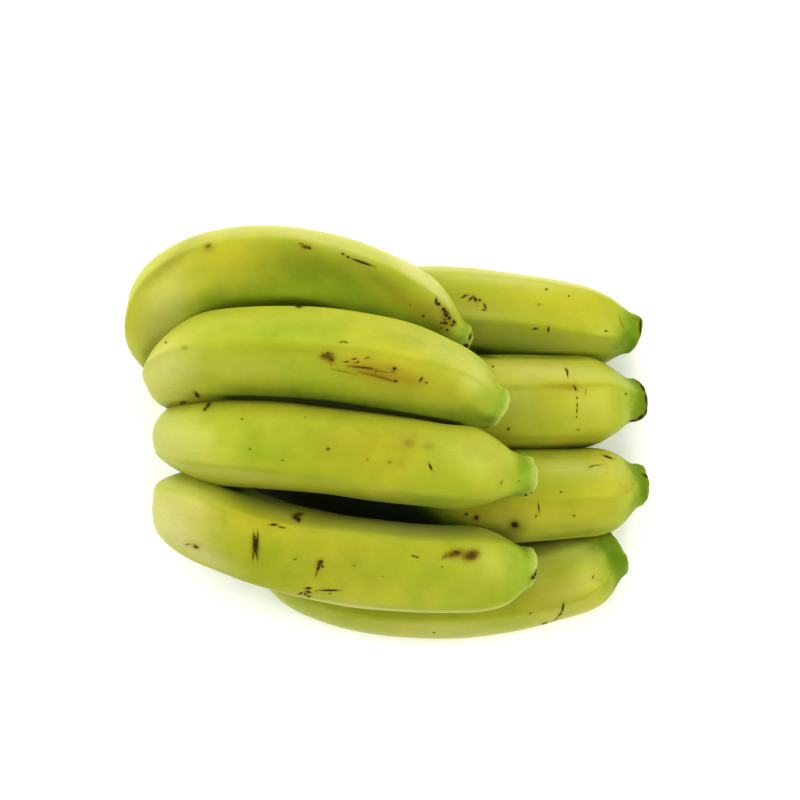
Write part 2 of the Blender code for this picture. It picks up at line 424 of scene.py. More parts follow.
@dataclass(frozen=True)
class Peel:
    """The skin of the fingers: yellow-green body, green ends, scars, marks, fibres and pores, with painted
    shade where the fingers come close and painted light in pale patches.

    Lengths from the root or tip are millimetres, and the heights of the relief are metres. A
    share that an edge fades over is written as the two values between which it rises.
    """

    name: str = "banana_peel"
    yellow: tuple[int, int, int] = (178, 174, 62)
    green: tuple[int, int, int] = (148, 163, 42)
    warm: tuple[int, int, int] = (182, 164, 46)
    # pale patches: partly paler skin, partly painted light on lit sides and over real shadows
    pale_and_painted_light: tuple[int, int, int] = (191, 189, 128)
    stalk: tuple[int, int, int] = (122, 158, 30)
    pale_tip: tuple[int, int, int] = (148, 168, 52)
    deep_tip: tuple[int, int, int] = (100, 130, 0)
    rim: tuple[int, int, int] = (192, 196, 130)
    ridge: tuple[int, int, int] = (150, 160, 30)
    brown: tuple[int, int, int] = (128, 108, 20)
    tan: tuple[int, int, int] = (116, 90, 16)
    halo: tuple[int, int, int] = (128, 110, 24)
    black: tuple[int, int, int] = (54, 38, 8)
    scar: tuple[int, int, int] = (44, 36, 26)
    # painted shade: dark olive laid where neighbouring fingers come close
    painted_shade: tuple[int, int, int] = (78, 98, 0)
    # near-black painted shadow, laid where the painted shade is deepest, in the gaps between the fingers
    gap: tuple[int, int, int] = (5, 22, 2)
    broad: Grain = Grain(0.032)
    cloud: Grain = Grain(0.12, 3.0)
    speck: Grain = Grain(0.9, 3.0, 0.6)
    fibre: Grain = Grain(0.9, 3.0, 0.6, (0.055, 1.0, 1.0))
    thread: Grain = Grain(3.2, 2.0, 0.5, (0.09, 1.0, 1.0))
    pore: Grain = Grain(4.5, 1.0)
    jitter: Grain = Grain(1.5, 4.0, 0.62)
    green_root: tuple[float, float] = (38.0, 14.0)
    green_tip: tuple[float, float] = (24.0, 8.0)
    stalk_end: tuple[float, float] = (26.0, 12.0)
    greening_edge: tuple[float, float] = (-0.75, 0.9)
    painted_gap_shadow_edge: tuple[float, float] = (0.92, 1.3)
    rim_width: tuple[float, float] = (1.5, 0.5)
    lip_width: tuple[float, float] = (5.0, 1.0)
    halo_edge: tuple[float, float] = (2.7, 0.9)
    gloss: float = 0.42
    fibre_height: float = 0.00005
    thread_height: float = 0.00002
    pore_height: float = 0.000012
    speck_height: float = 0.00001
    cloud_height: float = 0.00018
    mark_depth: float = 0.00008
    burn_depth: float = 0.0001

    def read(self, sheet: NodeSheet) -> SkinReadings:
        """Read the mesh's values and lay the noises that several colours share."""
        straight = sheet.attribute("straight", "Vector")
        brown, warm, green = sheet.parts(sheet.attribute("tint", "Vector"))
        deep, scarred, face = sheet.parts(sheet.attribute("end", "Vector"))
        return SkinReadings(
            straight, sheet.attribute("from_tip"), sheet.attribute("from_root"), brown, warm, green,
            sheet.attribute("painted_shade"), deep, scarred, face, sheet.noise(straight, self.cloud),
            sheet.noise(straight, self.speck), sheet.noise(straight, self.fibre))

    def ground(self, sheet: NodeSheet, at: SkinReadings) -> Field:
        """The body's colour: yellow to green, with warm patches, pale patches that are partly painted
        light, ridges and the stalk.
        """
        broad = sheet.noise(at.straight, self.broad)
        ends = at.from_root.rise(*self.green_root) * 0.8 + at.from_tip.rise(*self.green_tip) * 0.4
        mottle = (broad - 0.5) * 1.3 + (at.cloud - 0.5) * 0.5 + (at.fibre - 0.5) * 0.35
        greenness = mottle + at.green + ends + 0.34
        colour = sheet.blend(greenness.held(), linear(self.yellow), linear(self.green))
        colour = sheet.blend((at.warm * (at.cloud + 0.5)).held(), colour, linear(self.warm))
        # pale patches: partly paler skin, partly painted light on lit sides and over real shadows
        pale_and_painted_light = sheet.attribute("pale_and_painted_light") * (at.cloud * 0.5 + at.fibre * 0.3 + 0.6)
        colour = sheet.blend(pale_and_painted_light.held(), colour, linear(self.pale_and_painted_light))
        ridge = sheet.attribute("ridge") * 0.4 * (at.fibre + 0.3)
        colour = sheet.blend(ridge.held(), colour, linear(self.ridge))
        stalk = (at.from_root + (at.fibre - 0.5) * 10.0).rise(*self.stalk_end)
        return sheet.blend(stalk * 0.85, colour, linear(self.stalk))

    def greened(self, sheet: NodeSheet, at: SkinReadings, colour: Field) -> tuple[Field, Field]:
        """The colour with the green tip on it, and how much of the tip there is."""
        tip = sheet.blend((at.deep + (at.cloud - 0.5) * 1.4).held(), linear(self.pale_tip),
                          linear(self.deep_tip))
        ragged = sheet.attribute("greening") + (at.cloud - 0.5) * 1.4 + (at.fibre - 0.5) * 0.8
        near = ragged.rise(*self.greening_edge)
        return sheet.blend(near * 0.92, colour, tip), near

    def shaded(self, sheet: NodeSheet, at: SkinReadings, thread: Field, colour: Field) -> Field:
        """The colour with painted shade where neighbours come close and a near-black painted shadow in the
        deepest gaps, bruised, and mottled by the noises.
        """
        # painted shade: darker olive where the neighbouring fingers come close
        painted_shade = ((at.painted_shade + (at.cloud - 0.5) * 0.3) * 0.92).held()
        colour = sheet.blend(painted_shade, colour, linear(self.painted_shade))
        # near-black painted shadow in the deepest gaps between the fingers
        colour = sheet.blend(at.painted_shade.rise(*self.painted_gap_shadow_edge) * 0.95, colour, linear(self.gap))
        bruise = (at.brown * (at.speck * 0.9 + at.cloud * 0.6 + 0.1)).held()
        colour = sheet.blend(bruise, colour, linear(self.brown))
        mottle = (at.fibre - 0.5) * 0.13 + (thread - 0.5) * 0.07 + (at.speck - 0.5) * 0.06 + 1.0
        return sheet.blend(1.0, colour, mottle, "MULTIPLY")

    def ended(self, sheet: NodeSheet, at: SkinReadings, colour: Field) -> tuple[Field, Field]:
        """The colour with the end's pale rim and lip and its burnt face, and how burnt it is."""
        edge = (at.from_tip + (at.speck - 0.5) * 0.9).rise(*self.rim_width) * at.face.rise(0.3, 0.1)
        colour = sheet.blend(edge * (at.cloud * 1.2 - 0.1).held() * 0.8, colour, linear(self.rim))
        lip = (at.from_tip + (at.speck - 0.5) * 2.0).rise(*self.lip_width) * (0.75 - at.deep).held()
        colour = sheet.blend(lip, colour, linear(self.rim))
        burn = at.face * 1.5 + (at.speck - 0.5) * 1.6 + at.scarred * 1.3 - 1.2
        burn = burn.rise(0.0, 0.35) * at.face.rise(0.04, 0.2)
        return sheet.blend(burn * 0.95, colour, linear(self.scar)), burn

    def marked(self, sheet: NodeSheet, at: SkinReadings, colour: Field) -> tuple[Field, Field]:
        """Lay the marks on a colour.

        A mark is dark where its own coordinates, in half lengths and half widths from its middle,
        are less than one unit long, after fine noise has been added to make its edge ragged.

        Args:
            sheet: the finish's node sheet.
            at: what the finish reads.
            colour: the colour so far.

        Returns:
            The colour with the marks on it, and how much of a mark there is.
        """
        jitter = sheet.noise(at.straight, self.jitter)
        total = None
        for layer in range(MARK_LAYERS):
            place = sheet.attribute(f"mark_{layer}", "Vector")
            tone, ragged, soft = sheet.parts(sheet.attribute(f"mark_kind_{layer}", "Vector"))
            length = sheet.vectors("LENGTH", place, (0.0, 0.0, 0.0), "Value")
            depth = ((1.0 + soft - length - (jitter - 0.5) * ragged * 4.2) / (soft * 2.0)).held()
            mask = depth * depth * (3.0 - depth * 2.0)
            share = (tone * 1.6 + 0.12).held() * mask
            ink = sheet.blend(((tone - 0.3) * 1.7).held(), linear(self.tan), linear(self.black))
            halo = (length - (jitter - 0.5) * 2.0).rise(*self.halo_edge) * tone * 0.55
            colour = sheet.blend(halo, colour, linear(self.halo))
            colour = sheet.blend(share, colour, ink)
            total = share if total is None else total + share
        return colour, total.held()

    def material(self) -> bpy.types.Material:
        """The finish's material."""
        sheet = NodeSheet(self.name)
        at = self.read(sheet)
        thread = sheet.noise(at.straight, self.thread)
        pore = sheet.noise(at.straight, self.pore)
        colour, near = self.greened(sheet, at, self.ground(sheet, at))
        colour = self.shaded(sheet, at, thread, colour)
        colour, burn = self.ended(sheet, at, colour)
        colour, marked = self.marked(sheet, at, colour)
        rough = (at.speck - 0.5) * 0.12 + (at.cloud - 0.5) * 0.08 + marked * 0.35 + burn * 0.3
        rough = rough + self.gloss + near * at.deep * 0.25 + at.painted_shade * 0.25
        height = at.fibre * self.fibre_height + thread * self.thread_height
        height = height + pore * self.pore_height + at.speck * self.speck_height
        height = height + at.cloud * self.cloud_height
        height = height - marked * self.mark_depth - burn * self.burn_depth
        return sheet.dress(
            base_color=colour, roughness=rough, normal=sheet.bump(height), specular_ior_level=0.4,
            specular_tint=(1.0, 1.0, 0.5, 1.0), subsurface_weight=0.1,
            subsurface_radius=(1.0, 0.85, 0.2), subsurface_scale=0.0025, sheen_weight=0.07,
            sheen_roughness=0.5, sheen_tint=(1.0, 0.96, 0.35, 1.0))


@dataclass(frozen=True)
class CrownSkin:
    """The crown and the stalks: green rind, brown where it was cut and rubbed, fibrous cut face.

    Lengths are millimetres, and the heights of the relief are metres.
    """

    name: str = "banana_crown"
    rind: tuple[int, int, int] = (112, 136, 34)
    stalk: tuple[int, int, int] = (122, 158, 30)
    brown: tuple[int, int, int] = (104, 84, 40)
    dark: tuple[int, int, int] = (52, 40, 24)
    cut: tuple[int, int, int] = (176, 156, 104)
    cloud: Grain = Grain(0.14, 3.0)
    speck: Grain = Grain(0.8, 4.0, 0.62)
    fibre: Grain = Grain(0.9, 3.0, 0.6, (1.0, 1.0, 0.12))
    rind_end: tuple[float, float] = (3.0, 12.0)
    rubbed_end: tuple[float, float] = (17.0, 5.0)
    darker_bottom_height: tuple[float, float] = (6.0, 0.6)
    matt: float = 0.52
    fibre_height: float = 0.0002
    speck_height: float = 0.00008

    def material(self) -> bpy.types.Material:
        """The finish's material."""
        sheet = NodeSheet(self.name)
        straight = sheet.attribute("straight", "Vector")
        from_root = sheet.attribute("from_root")
        cut = sheet.attribute("cut")
        cloud = sheet.noise(straight, self.cloud)
        speck = sheet.noise(straight, self.speck)
        fibre = sheet.noise(straight, self.fibre)
        grown = (from_root + (cloud - 0.5) * 10.0).rise(*self.rind_end)
        colour = sheet.blend(grown, linear(self.rind), linear(self.stalk))
        rubbed = (cloud * 0.7 + speck * 0.6).rise(0.72, 0.9) * 0.6
        colour = sheet.blend(rubbed * from_root.rise(*self.rubbed_end), colour, linear(self.brown))
        # darker towards the bottom, within about 6 mm of the table
        lip = (sheet.attribute("above") + (cloud - 0.5) * 5.0).rise(*self.darker_bottom_height)
        colour = sheet.blend(lip * 0.85, colour, linear(self.dark))
        browned = (speck * 0.8 + cloud * 0.6).rise(0.6, 0.95)
        pith = sheet.blend(browned, linear(self.cut), linear(self.brown))
        colour = sheet.blend(cut, colour, pith)
        mottle = (fibre - 0.5) * 0.2 + (speck - 0.5) * 0.12 + 1.0
        colour = sheet.blend(1.0, colour, mottle, "MULTIPLY")
        rough = cut * 0.25 + (speck - 0.5) * 0.15 + self.matt
        normal = sheet.bump(fibre * self.fibre_height + speck * self.speck_height)
        return sheet.dress(base_color=colour, roughness=rough, normal=normal, specular_ior_level=0.4)


@dataclass(frozen=True)
class TablePaint:
    """The table's plain, nearly white matt paint."""

    name: str = "table_paint"
    white: tuple[int, int, int] = (253, 253, 251)
    grain: Grain = Grain(60.0, 3.0)
    mottle: float = 0.01
    matt: float = 0.7

    def material(self) -> bpy.types.Material:
        """The finish's material."""
        sheet = NodeSheet(self.name)
        place = Field(sheet, sheet.add("ShaderNodeTexCoord", {}, {}).outputs["Object"])
        shade = (sheet.noise(place, self.grain) - 0.5) * self.mottle + 1.0
        colour = sheet.blend(1.0, linear(self.white), shade, "MULTIPLY")
        return sheet.dress(base_color=colour, roughness=self.matt)


@dataclass(frozen=True)
class Shade:
    """How far the painted shade that a finger's neighbours lay on it reaches, in millimetres, and how
    strong it is.

    Both change from those at the root to those at the tip between the lengths start and end.
    """

    root_reach: float
    tip_reach: float
    root_share: float
    tip_share: float
    start: float
    end: float


class Row(Enum):
    """Which row of the hand a finger grew in, with the painted shade that its neighbours lay on it."""

    OUTER = Shade(4.0, 17.0, 0.2, 1.05, 52.0, 86.0)
    INNER = Shade(30.0, 5.0, 1.6, 0.9, 72.0, 104.0)
    INNER_EDGE = Shade(12.0, 4.0, 0.8, 0.95, 45.0, 90.0)


@dataclass(frozen=True)
class Swell:
    """A place where a finger is fuller on one side.

    It is placed in millimetres from the root, or from the tip where that is negative, with its
    reach along the finger, its direction in degrees from straight up towards +Y, and its height.
    A swell of negative height is a hollow.
    """

    at: float
    reach: float
    way: float
    height: float


@dataclass(frozen=True)
class EndFace:
    """The blunt end of a finger.

    Its rings are shares of the rim's radius with millimetres forward, its pole is the middle's
    millimetres forward, and the last few millimetres round down to the rim's share of the radius.
    """

    rings: tuple[tuple[float, float], ...] = (
        (0.96, 0.22), (0.9, 0.33), (0.83, 0.24), (0.76, -0.12), (0.64, -0.34), (0.48, -0.36),
        (0.34, -0.18), (0.26, 0.22), (0.2, 0.5), (0.12, 0.62))
    pole: float = 0.66
    rounding: float = 3.2
    rim_share: float = 0.64


@dataclass
class Finger:
    """One banana: its centreline, thickness, facets and blemishes.

    Lengths are millimetres and angles degrees. The neck is where the stalk starts to widen and
    where it is full; the ridges are directions from straight up towards +Y, and the curl is an
    extra turn of the facets, with its place from the root and its spread. Green, deep and scar
    say how green the body is, how dark green the tip is and how burnt the end is.
    """

    STALK_RADIUS = 6.3
    SLIM_SHARE = 0.98
    BELLY_SWELL = 0.03
    STUB_LENGTH = 1.5
    BLEND_POWER = 5.0
    START = 7.0
    END_ROWS = 62
    END_LENGTH = 14.0
    TOP_CROWDING = 0.42
    CORNER_BLUR = 3.2
    RIDGE_WIDTH = 4.0
    LUMP_WAVES = (0, 1, 1, 2, 2, 3, 4, 5)
    LUMP_SHARE = 0.0062
    SWAY = 0.035
    GROWTH = 25.0
    FACETS_START = 10.0
    LUMPS_START = 12.0
    LINES_START = 15.0
    END_FLATNESS = 0.3
    END_GROWTH = 8.0
    RIBS = ((7.0, 0.03), (13.0, 0.02))
    RIB_LENGTH = 4.0
    RIM_SLANT = 0.7
    SLANT_LENGTH = 5.0
    ROUNDS = 36
    ROUNDS_START = 12.0
    ROUNDS_END = 4.0
    LIT_SIDE = 0.35
    LIT_EDGE = 0.9
    BARE_TIP = 4.0
    TIP_EDGE = 16.0
    SEEN = 0.1
    SPECKS = 26
    SPECK_DEPTH = 6.0

    name: str
    row: Row
    body_radius: float
    neck: tuple[float, float]
    shoulder: float
    stub_radius: float
    path: tuple[tuple[float, float, float], ...]
    ridges: tuple[float, ...]
    swells: tuple[Swell, ...] = ()
    taper: float = 0.9
    tip_reach: float = 8.0
    tip_blend: float = 3.0
    twist: float = 0.0
    curl: tuple[float, float, float] = (0.0, 1.0, 1.0)
    flatness: float = 0.36
    green: float = 0.0
    deep: float = 0.3
    scar: float = 0.5
    seed: int = 1
    marks: tuple[Mark, ...] = ()
    smears: tuple[Smear, ...] = ()
    end: EndFace = EndFace()
    rows: int = 300
    columns: int = 150

    def __post_init__(self) -> None:
        """Work out the centreline and its length."""
        self.fine, self.lengths = smooth_curve(self.path)
        self.total = float(self.lengths[-1])

    def centre(self, s: np.ndarray) -> np.ndarray:
        """Points of the centreline at the lengths s."""
        return np.stack([np.interp(s, self.lengths, self.fine[:, k]) for k in range(3)], axis=1)

    def frames(self, s: np.ndarray) -> tuple[np.ndarray, np.ndarray, np.ndarray]:
        """Directions along the finger, square to it towards the inside of its bend, and sideways.

        Args:
            s: lengths along the centreline, in millimetres.

        Returns:
            The tangent, inward and side directions at each length.
        """
        slopes = np.gradient(self.fine, axis=0)
        tangent = unit(np.stack([np.interp(s, self.lengths, slopes[:, k]) for k in range(3)], axis=1))
        knots = np.array(self.path, dtype=float)
        half = knots[len(knots) // 2]
        side = unit(np.cross(half - knots[1], knots[-1] - half))
        side = unit(side - (tangent @ side)[:, None] * tangent)
        return tangent, np.cross(side, tangent), side

    def radius(self, s: np.ndarray) -> np.ndarray:
        """Mean radius: stalk, widening neck, body with a slight belly, shoulder, and stub.

        The shoulder is the body times (1 - x²)^taper along its length, the stub a smooth step up
        to its own radius, and the two are joined by the fifth root of their summed fifth powers.
        """
        start, full = self.neck
        past = s - (self.total - self.shoulder)
        widening = smooth_step((s - start) / (full - start))
        body = self.STALK_RADIUS + (self.SLIM_SHARE * self.body_radius - self.STALK_RADIUS) * widening
        belly = np.clip((s - full) / (self.total - full), 0.0, 1.0)
        body = body * (1.0 + self.BELLY_SWELL * np.sin(math.pi * belly))
        reach = np.clip(past / (self.shoulder - self.STUB_LENGTH), 0.0, 1.0)
        shoulder = body * (1.0 - reach ** 2) ** self.taper
        stub = self.stub_radius * smooth_step(2.0 * past / self.shoulder)
        left = np.clip((self.total - s) / self.end.rounding, 0.0, 1.0)
        rounding = self.end.rim_share + (1.0 - self.end.rim_share) * np.sqrt(1.0 - (1.0 - left) ** 2)
        power = self.BLEND_POWER
        return (shoulder ** power + stub ** power) ** (1.0 / power) * rounding

    def around(self, degrees: np.ndarray | float) -> tuple[np.ndarray, float]:
        """Section angles of directions given at mid length in degrees from straight up towards +Y.

        Args:
            degrees: one or more directions, as seen from the finger's root.

        Returns:
            The section angles in radians, and the sense, 1 or -1, in which they run.
        """
        tangent, inward, side = (v[0] for v in self.frames(np.array([0.5 * self.total])))
        up = unit(np.array([0.0, 0.0, 1.0]) - tangent[2] * tangent)
        across = np.cross(up, tangent)
        turn = np.radians(np.atleast_1d(degrees))[:, None]
        way = np.cos(turn) * up + np.sin(turn) * across
        sense = float(np.sign(np.cross(inward, side) @ np.cross(up, across)))
        return np.arctan2(way @ side, way @ inward), sense

    def section(self) -> tuple[np.ndarray, np.ndarray]:
        """The section's radius factor and its closeness to a ridge, at even angles round it.

        Between two ridges the factor is that of the straight chord between them, cos(half their
        gap) / cos(angle from the middle), blurred by about three degrees.

        Returns:
            The factor, and the closeness, 1 on a ridge line.
        """
        corners = np.sort(self.around(np.array(self.ridges))[0] % (2.0 * math.pi))
        angles = np.arange(SECTION_POINTS) * math.pi / (SECTION_POINTS // 2)
        gaps = np.diff(np.append(corners, corners[0] + 2.0 * math.pi))
        past = (angles[:, None] - corners[None, :]) % (2.0 * math.pi)
        which = np.argmin(past, axis=1)
        offset = past[np.arange(SECTION_POINTS), which] - 0.5 * gaps[which]
        chord = np.cos(0.5 * gaps[which]) / np.cos(offset)
        waves = np.fft.rfftfreq(SECTION_POINTS, 1.0 / SECTION_POINTS)
        blur = np.exp(-0.5 * (waves * math.radians(self.CORNER_BLUR)) ** 2)
        chord = np.fft.irfft(np.fft.rfft(chord) * blur, SECTION_POINTS)
        near = 0.5 * gaps[which] - np.abs(offset)
        return chord, np.exp(-(near / math.radians(self.RIDGE_WIDTH)) ** 2)

    def lumps(self, s: np.ndarray, angles: np.ndarray) -> np.ndarray:
        """A gentle unevenness: seeded waves cos(m angle + 2 pi s / length + phase)."""
        chance = np.random.default_rng(self.seed)
        total = np.zeros((len(s), len(angles)))
        for waves in self.LUMP_WAVES:
            length = chance.uniform(38.0, 110.0) / (1.0 + 0.25 * waves)
            size = chance.uniform(0.5, 1.0) * self.LUMP_SHARE / (1.0 + 0.35 * waves)
            phase = chance.uniform(0.0, 2.0 * math.pi)
            total += size * np.cos(waves * angles[None, :] + (2.0 * math.pi * s / length + phase)[:, None])
        return total

    def painted_neighbour_shade(self, points: np.ndarray, along: np.ndarray, aside: np.ndarray,
                others: "Sequence[Finger]") -> np.ndarray:
        """How strong the painted shade from the neighbours is: 1 where they touch, 0 a little way off.

        Args:
            points: the surface's points, in millimetres.
            along: their lengths along this finger.
            aside: the parts of their outward directions along +Y, where the most light comes from.
            others: the fingers of the whole hand.

        Returns:
            The row's strength times the smooth step of 1 - gap / reach, where the gap is to the
            nearest round of a neighbour, with none at the tip, nor towards +Y away from the root.
        """
        gap = np.full(len(points), NOWHERE)
        for other in others:
            if other is not self:
                s = np.linspace(self.ROUNDS_START, other.total - self.ROUNDS_END, self.ROUNDS)
                for middle, radius in zip(other.centre(s), other.radius(s)):
                    away = points - middle
                    gap = np.minimum(gap, np.sqrt((away * away).sum(axis=1)) - radius)
        shade = self.row.value
        grown = smooth_step((along - shade.start) / (shade.end - shade.start))
        reach = shade.root_reach + (shade.tip_reach - shade.root_reach) * grown
        share = shade.root_share + (shade.tip_share - shade.root_share) * grown
        unlit = smooth_step((self.LIT_SIDE - aside) / self.LIT_EDGE)
        share = share * (1.0 - grown * (1.0 - unlit))
        share = share * smooth_step((self.total - along - self.BARE_TIP) / self.TIP_EDGE)
        return share * smooth_step(1.0 - gap / reach)

    def grid_lines(self) -> tuple[np.ndarray, np.ndarray]:
        """Lengths of the rows, closer near the tip, and angles of the columns, closer on top."""
        bend = self.total - self.END_LENGTH
        s = np.concatenate([np.linspace(self.START, bend, self.rows - self.END_ROWS),
                            np.linspace(bend, self.total, self.END_ROWS + 1)[1:]])
        top = self.around(0.0)[0][0]
        even = np.linspace(0.0, 2.0 * math.pi, 2 * SECTION_POINTS + 1)
        dense = np.cumsum(1.0 + self.TOP_CROWDING * np.cos(even - top))
        steps = np.linspace(dense[0], dense[-1], self.columns, endpoint=False)
        return s, np.interp(steps, dense, even)

    def facets(self, s: np.ndarray, angles: np.ndarray,
               chance: np.random.Generator) -> tuple[np.ndarray, np.ndarray]:
        """The section laid along the finger, strong on the body and weak at both ends.

        It turns by twist (s / length - 1/2) + curl exp(-((s - at) / spread)²), and sways.

        Args:
            s: the rows' lengths along the finger.
            angles: the columns' angles.
            chance: the finger's random numbers.

        Returns:
            The radius factor of every point, and its closeness to a ridge.
        """
        sense = self.around(0.0)[1]
        factor, close = self.section()
        wave = chance.uniform(70.0, 120.0)
        sway = self.SWAY * np.sin(2.0 * math.pi * s / wave + chance.uniform(0.0, 6.0))
        curl, at, spread = self.curl
        turned = self.twist * (s / self.total - 0.5) + curl * np.exp(-((s - at) / spread) ** 2)
        turn = sense * np.radians(turned) + sway
        index = (angles[None, :] - turn[:, None]) * (SECTION_POINTS / 2) / math.pi
        index = index % SECTION_POINTS
        wrap = np.arange(SECTION_POINTS + 1)
        chord = np.interp(index, wrap, np.append(factor, factor[0]))
        ridge = np.interp(index, wrap, np.append(close, close[0]))
        strength = smooth_step((s - self.FACETS_START) / self.GROWTH) * self.flatness
        at_end = smooth_step((s - self.total + self.END_LENGTH) / self.END_GROWTH)
        strength += (self.END_FLATNESS - self.flatness) * at_end
        return 1.0 + strength[:, None] * (chord - chord.mean()), ridge

    def reaches(self, s: np.ndarray, angles: np.ndarray, factor: np.ndarray,
                chance: np.random.Generator) -> np.ndarray:
        """How far every point is from the centreline.

        It is the mean radius times the section's factor, ribs at the rim and lumps, and then
        each swell adds height exp(-((s - at) / reach)²) max(cos(angle - way), 0)^1.5.

        Args:
            s: the rows' lengths along the finger.
            angles: the columns' angles.
            factor: the section's factor at every point.
            chance: the finger's random numbers.

        Returns:
            The distances, in millimetres.
        """
        at_rim = smooth_step((s - self.total + self.RIB_LENGTH) / self.RIB_LENGTH)[:, None]
        for ribs, height in self.RIBS:
            factor = factor + at_rim * height * np.cos(ribs * angles + chance.uniform(0.0, 6.0))
        uneven = smooth_step((s - self.LUMPS_START) / self.GROWTH)[:, None]
        factor = factor + self.lumps(s, angles) * uneven
        reach = self.radius(s)[:, None] * factor
        for swell in self.swells:
            at = swell.at if swell.at > 0.0 else self.total + swell.at
            lean = np.maximum(np.cos(angles - self.around(swell.way)[0][0]), 0.0) ** 1.5
            reach += swell.height * np.exp(-((s - at) / swell.reach) ** 2)[:, None] * lean
        return reach

    def surface(self, view: PictureView, others: "Sequence[Finger]") -> Surface:
        """The whole skin as a closed grid, with everything that the peel's finish reads.

        A point is centre + reach (cos a inward + sin a side), the rim is slanted a little, the
        end face's rings follow it, and nothing goes below the table.

        Args:
            view: the camera, for placing the marks.
            others: the fingers of the whole hand, whose nearness paints shade on this one.

        Returns:
            The surface, in millimetres from the picture's axis.
        """
        chance = np.random.default_rng(self.seed + 40)
        s, angles = self.grid_lines()
        tangent, inward, side = self.frames(s)
        factor, ridge = self.facets(s, angles, chance)
        reach = self.reaches(s, angles, factor, chance)
        way = outward(angles, inward, side)
        slant = self.RIM_SLANT * np.cos(angles - chance.uniform(0.0, 6.0))
        at_end = smooth_step((s - self.total + self.SLANT_LENGTH) / self.SLANT_LENGTH)
        slant = slant * at_end[:, None]
        body = self.centre(s)[:, None] + reach[..., None] * way + slant[..., None] * tangent[:, None]
        share, forward = np.array(self.end.rings).T[..., None, None]
        middle = self.centre(s[-1:])[0]
        cap = middle + share * (body[-1] - middle) + forward * tangent[-1]
        grid = np.concatenate([body, cap])
        poles = np.stack([self.centre(s[:1])[0], middle + self.end.pole * tangent[-1]])
        points = np.concatenate([grid.reshape(-1, 3), poles])
        points[:, 2] = np.maximum(points[:, 2], 0.0)
        values = self.along_values(s, angles, ridge)
        normals = self.normals(grid)
        facing = np.append(normals[..., 2].ravel(), [-1.0, -1.0])
        aside = np.append(normals[..., 1].ravel(), [0.0, 0.0])
        pixels = view.pixels(points)
        tints = self.tints(pixels, facing)
        values["tint"] = tints[:, :3]
        values["pale_and_painted_light"] = tints[:, 3]
        along = values["from_root"]
        # painted shade from the neighbours' nearness, plus the dark smears' painted shade
        values["painted_shade"] = self.painted_neighbour_shade(points, along, aside, others) + tints[:, 4]
        values.update(self.blemishes(points, pixels, facing, values["straight"]))
        return Surface(points, *tube_faces(len(grid), self.columns), values)

    def along_values(self, s: np.ndarray, angles: np.ndarray,
                     ridge: np.ndarray) -> dict[str, np.ndarray]:
        """The values that depend only on a point's place in the finger's own grid.

        Args:
            s: the body rows' lengths along the finger; the end face's rings come after them.
            angles: the columns' angles.
            ridge: the closeness of the body's points to a ridge.

        Returns:
            The unrolled place, the lengths from both ends, the ridges, the greening of the tip
            and the end's deepness, scar and face, with the two poles last.
        """
        share = np.array(self.end.rings)[:, 0]
        lengths = np.concatenate([s, np.full(len(share), self.total)])
        mean = np.concatenate([self.radius(s), self.radius(s[-1:]) * share])
        shape = (len(lengths), self.columns)
        unrolled = np.stack([np.broadcast_to(lengths[:, None], shape),
                             mean[:, None] * np.cos(angles), mean[:, None] * np.sin(angles)], axis=-1)
        poles = [[self.START, 0.0, 0.0], [self.total, 0.0, 0.0]]
        straight = np.concatenate([unrolled.reshape(-1, 3), poles])
        straight[:, 0] += PATCH * self.seed
        along = np.append(np.repeat(lengths, self.columns), [self.START, self.total])
        inside = np.concatenate([np.zeros(len(s)), 1.0 - share])
        face = np.append(np.repeat(inside, self.columns), [0.0, 1.0])
        lines = np.zeros(shape)
        lines[:len(s)] = ridge * smooth_step((s - self.LINES_START) / self.GROWTH)[:, None]
        same = np.ones(len(along))
        return {
            "straight": straight,
            "from_tip": self.total - along,
            "from_root": along,
            "greening": (self.tip_reach - (self.total - along)) / self.tip_blend,
            "ridge": np.append(lines.ravel(), [0.0, 0.0]),
            "end": np.stack([self.deep * same, self.scar * same, face], axis=1),
        }

    @staticmethod
    def normals(grid: np.ndarray) -> np.ndarray:
        """Outward directions of a grid of rings, from the differences round it and along it."""
        round_it = np.roll(grid, -1, axis=1) - np.roll(grid, 1, axis=1)
        along_it = np.gradient(grid, axis=0)
        across = np.cross(round_it, along_it)
        return across / np.maximum(np.linalg.norm(across, axis=-1, keepdims=True), 1e-9)

    def tints(self, pixels: np.ndarray, facing: np.ndarray) -> np.ndarray:
        """Brown, warm, green, pale (paler skin and painted light) and dark (painted shade) at every point:
        the smears' sums of exp(-(u² + v²)).
        """
        total = np.zeros((len(pixels), 5))
        total[:, 2] = self.green
        seen = smooth_step((facing - 0.02) / 0.2)
        for smear in self.smears:
            turned = self.turned(pixels, smear) / np.array([smear.long, smear.wide])
            share = np.exp(-(turned ** 2).sum(axis=1)) * seen
            tint = np.array([smear.brown, smear.warm, smear.green, smear.pale_and_painted_light, smear.dark])
            total += share[:, None] * tint
        return total

    @staticmethod
    def turned(pixels: np.ndarray, item: Mark | Smear) -> np.ndarray:
        """Pixels from the item's middle, along its long way and across it."""
        turn = math.radians(item.turn)
        x = pixels[:, 0] - item.x
        y = item.y - pixels[:, 1]
        return np.stack([x * math.cos(turn) + y * math.sin(turn),
                         y * math.cos(turn) - x * math.sin(turn)], axis=1)

    def blemishes(self, points: np.ndarray, pixels: np.ndarray, facing: np.ndarray,
                  straight: np.ndarray) -> dict[str, np.ndarray]:
        """Coordinates of the nearest mark at every point, in layers whose marks keep apart.

        Args:
            points: the surface's points, in millimetres.
            pixels: the same points in the photograph.
            facing: the upward part of the outward directions.
            straight: the unrolled coordinates.

        Returns:
            For each layer, the marks' own coordinates and the marks' kinds.
        """
        found = [self.placed(mark, points, pixels, facing) for mark in self.marks]
        chance = np.random.default_rng(self.seed + 90)
        for _ in range(self.SPECKS):
            speck = self.speck(points, straight, chance, facing)
            if speck is not None:
                found.append(speck)
        return self.layered(found, len(points))

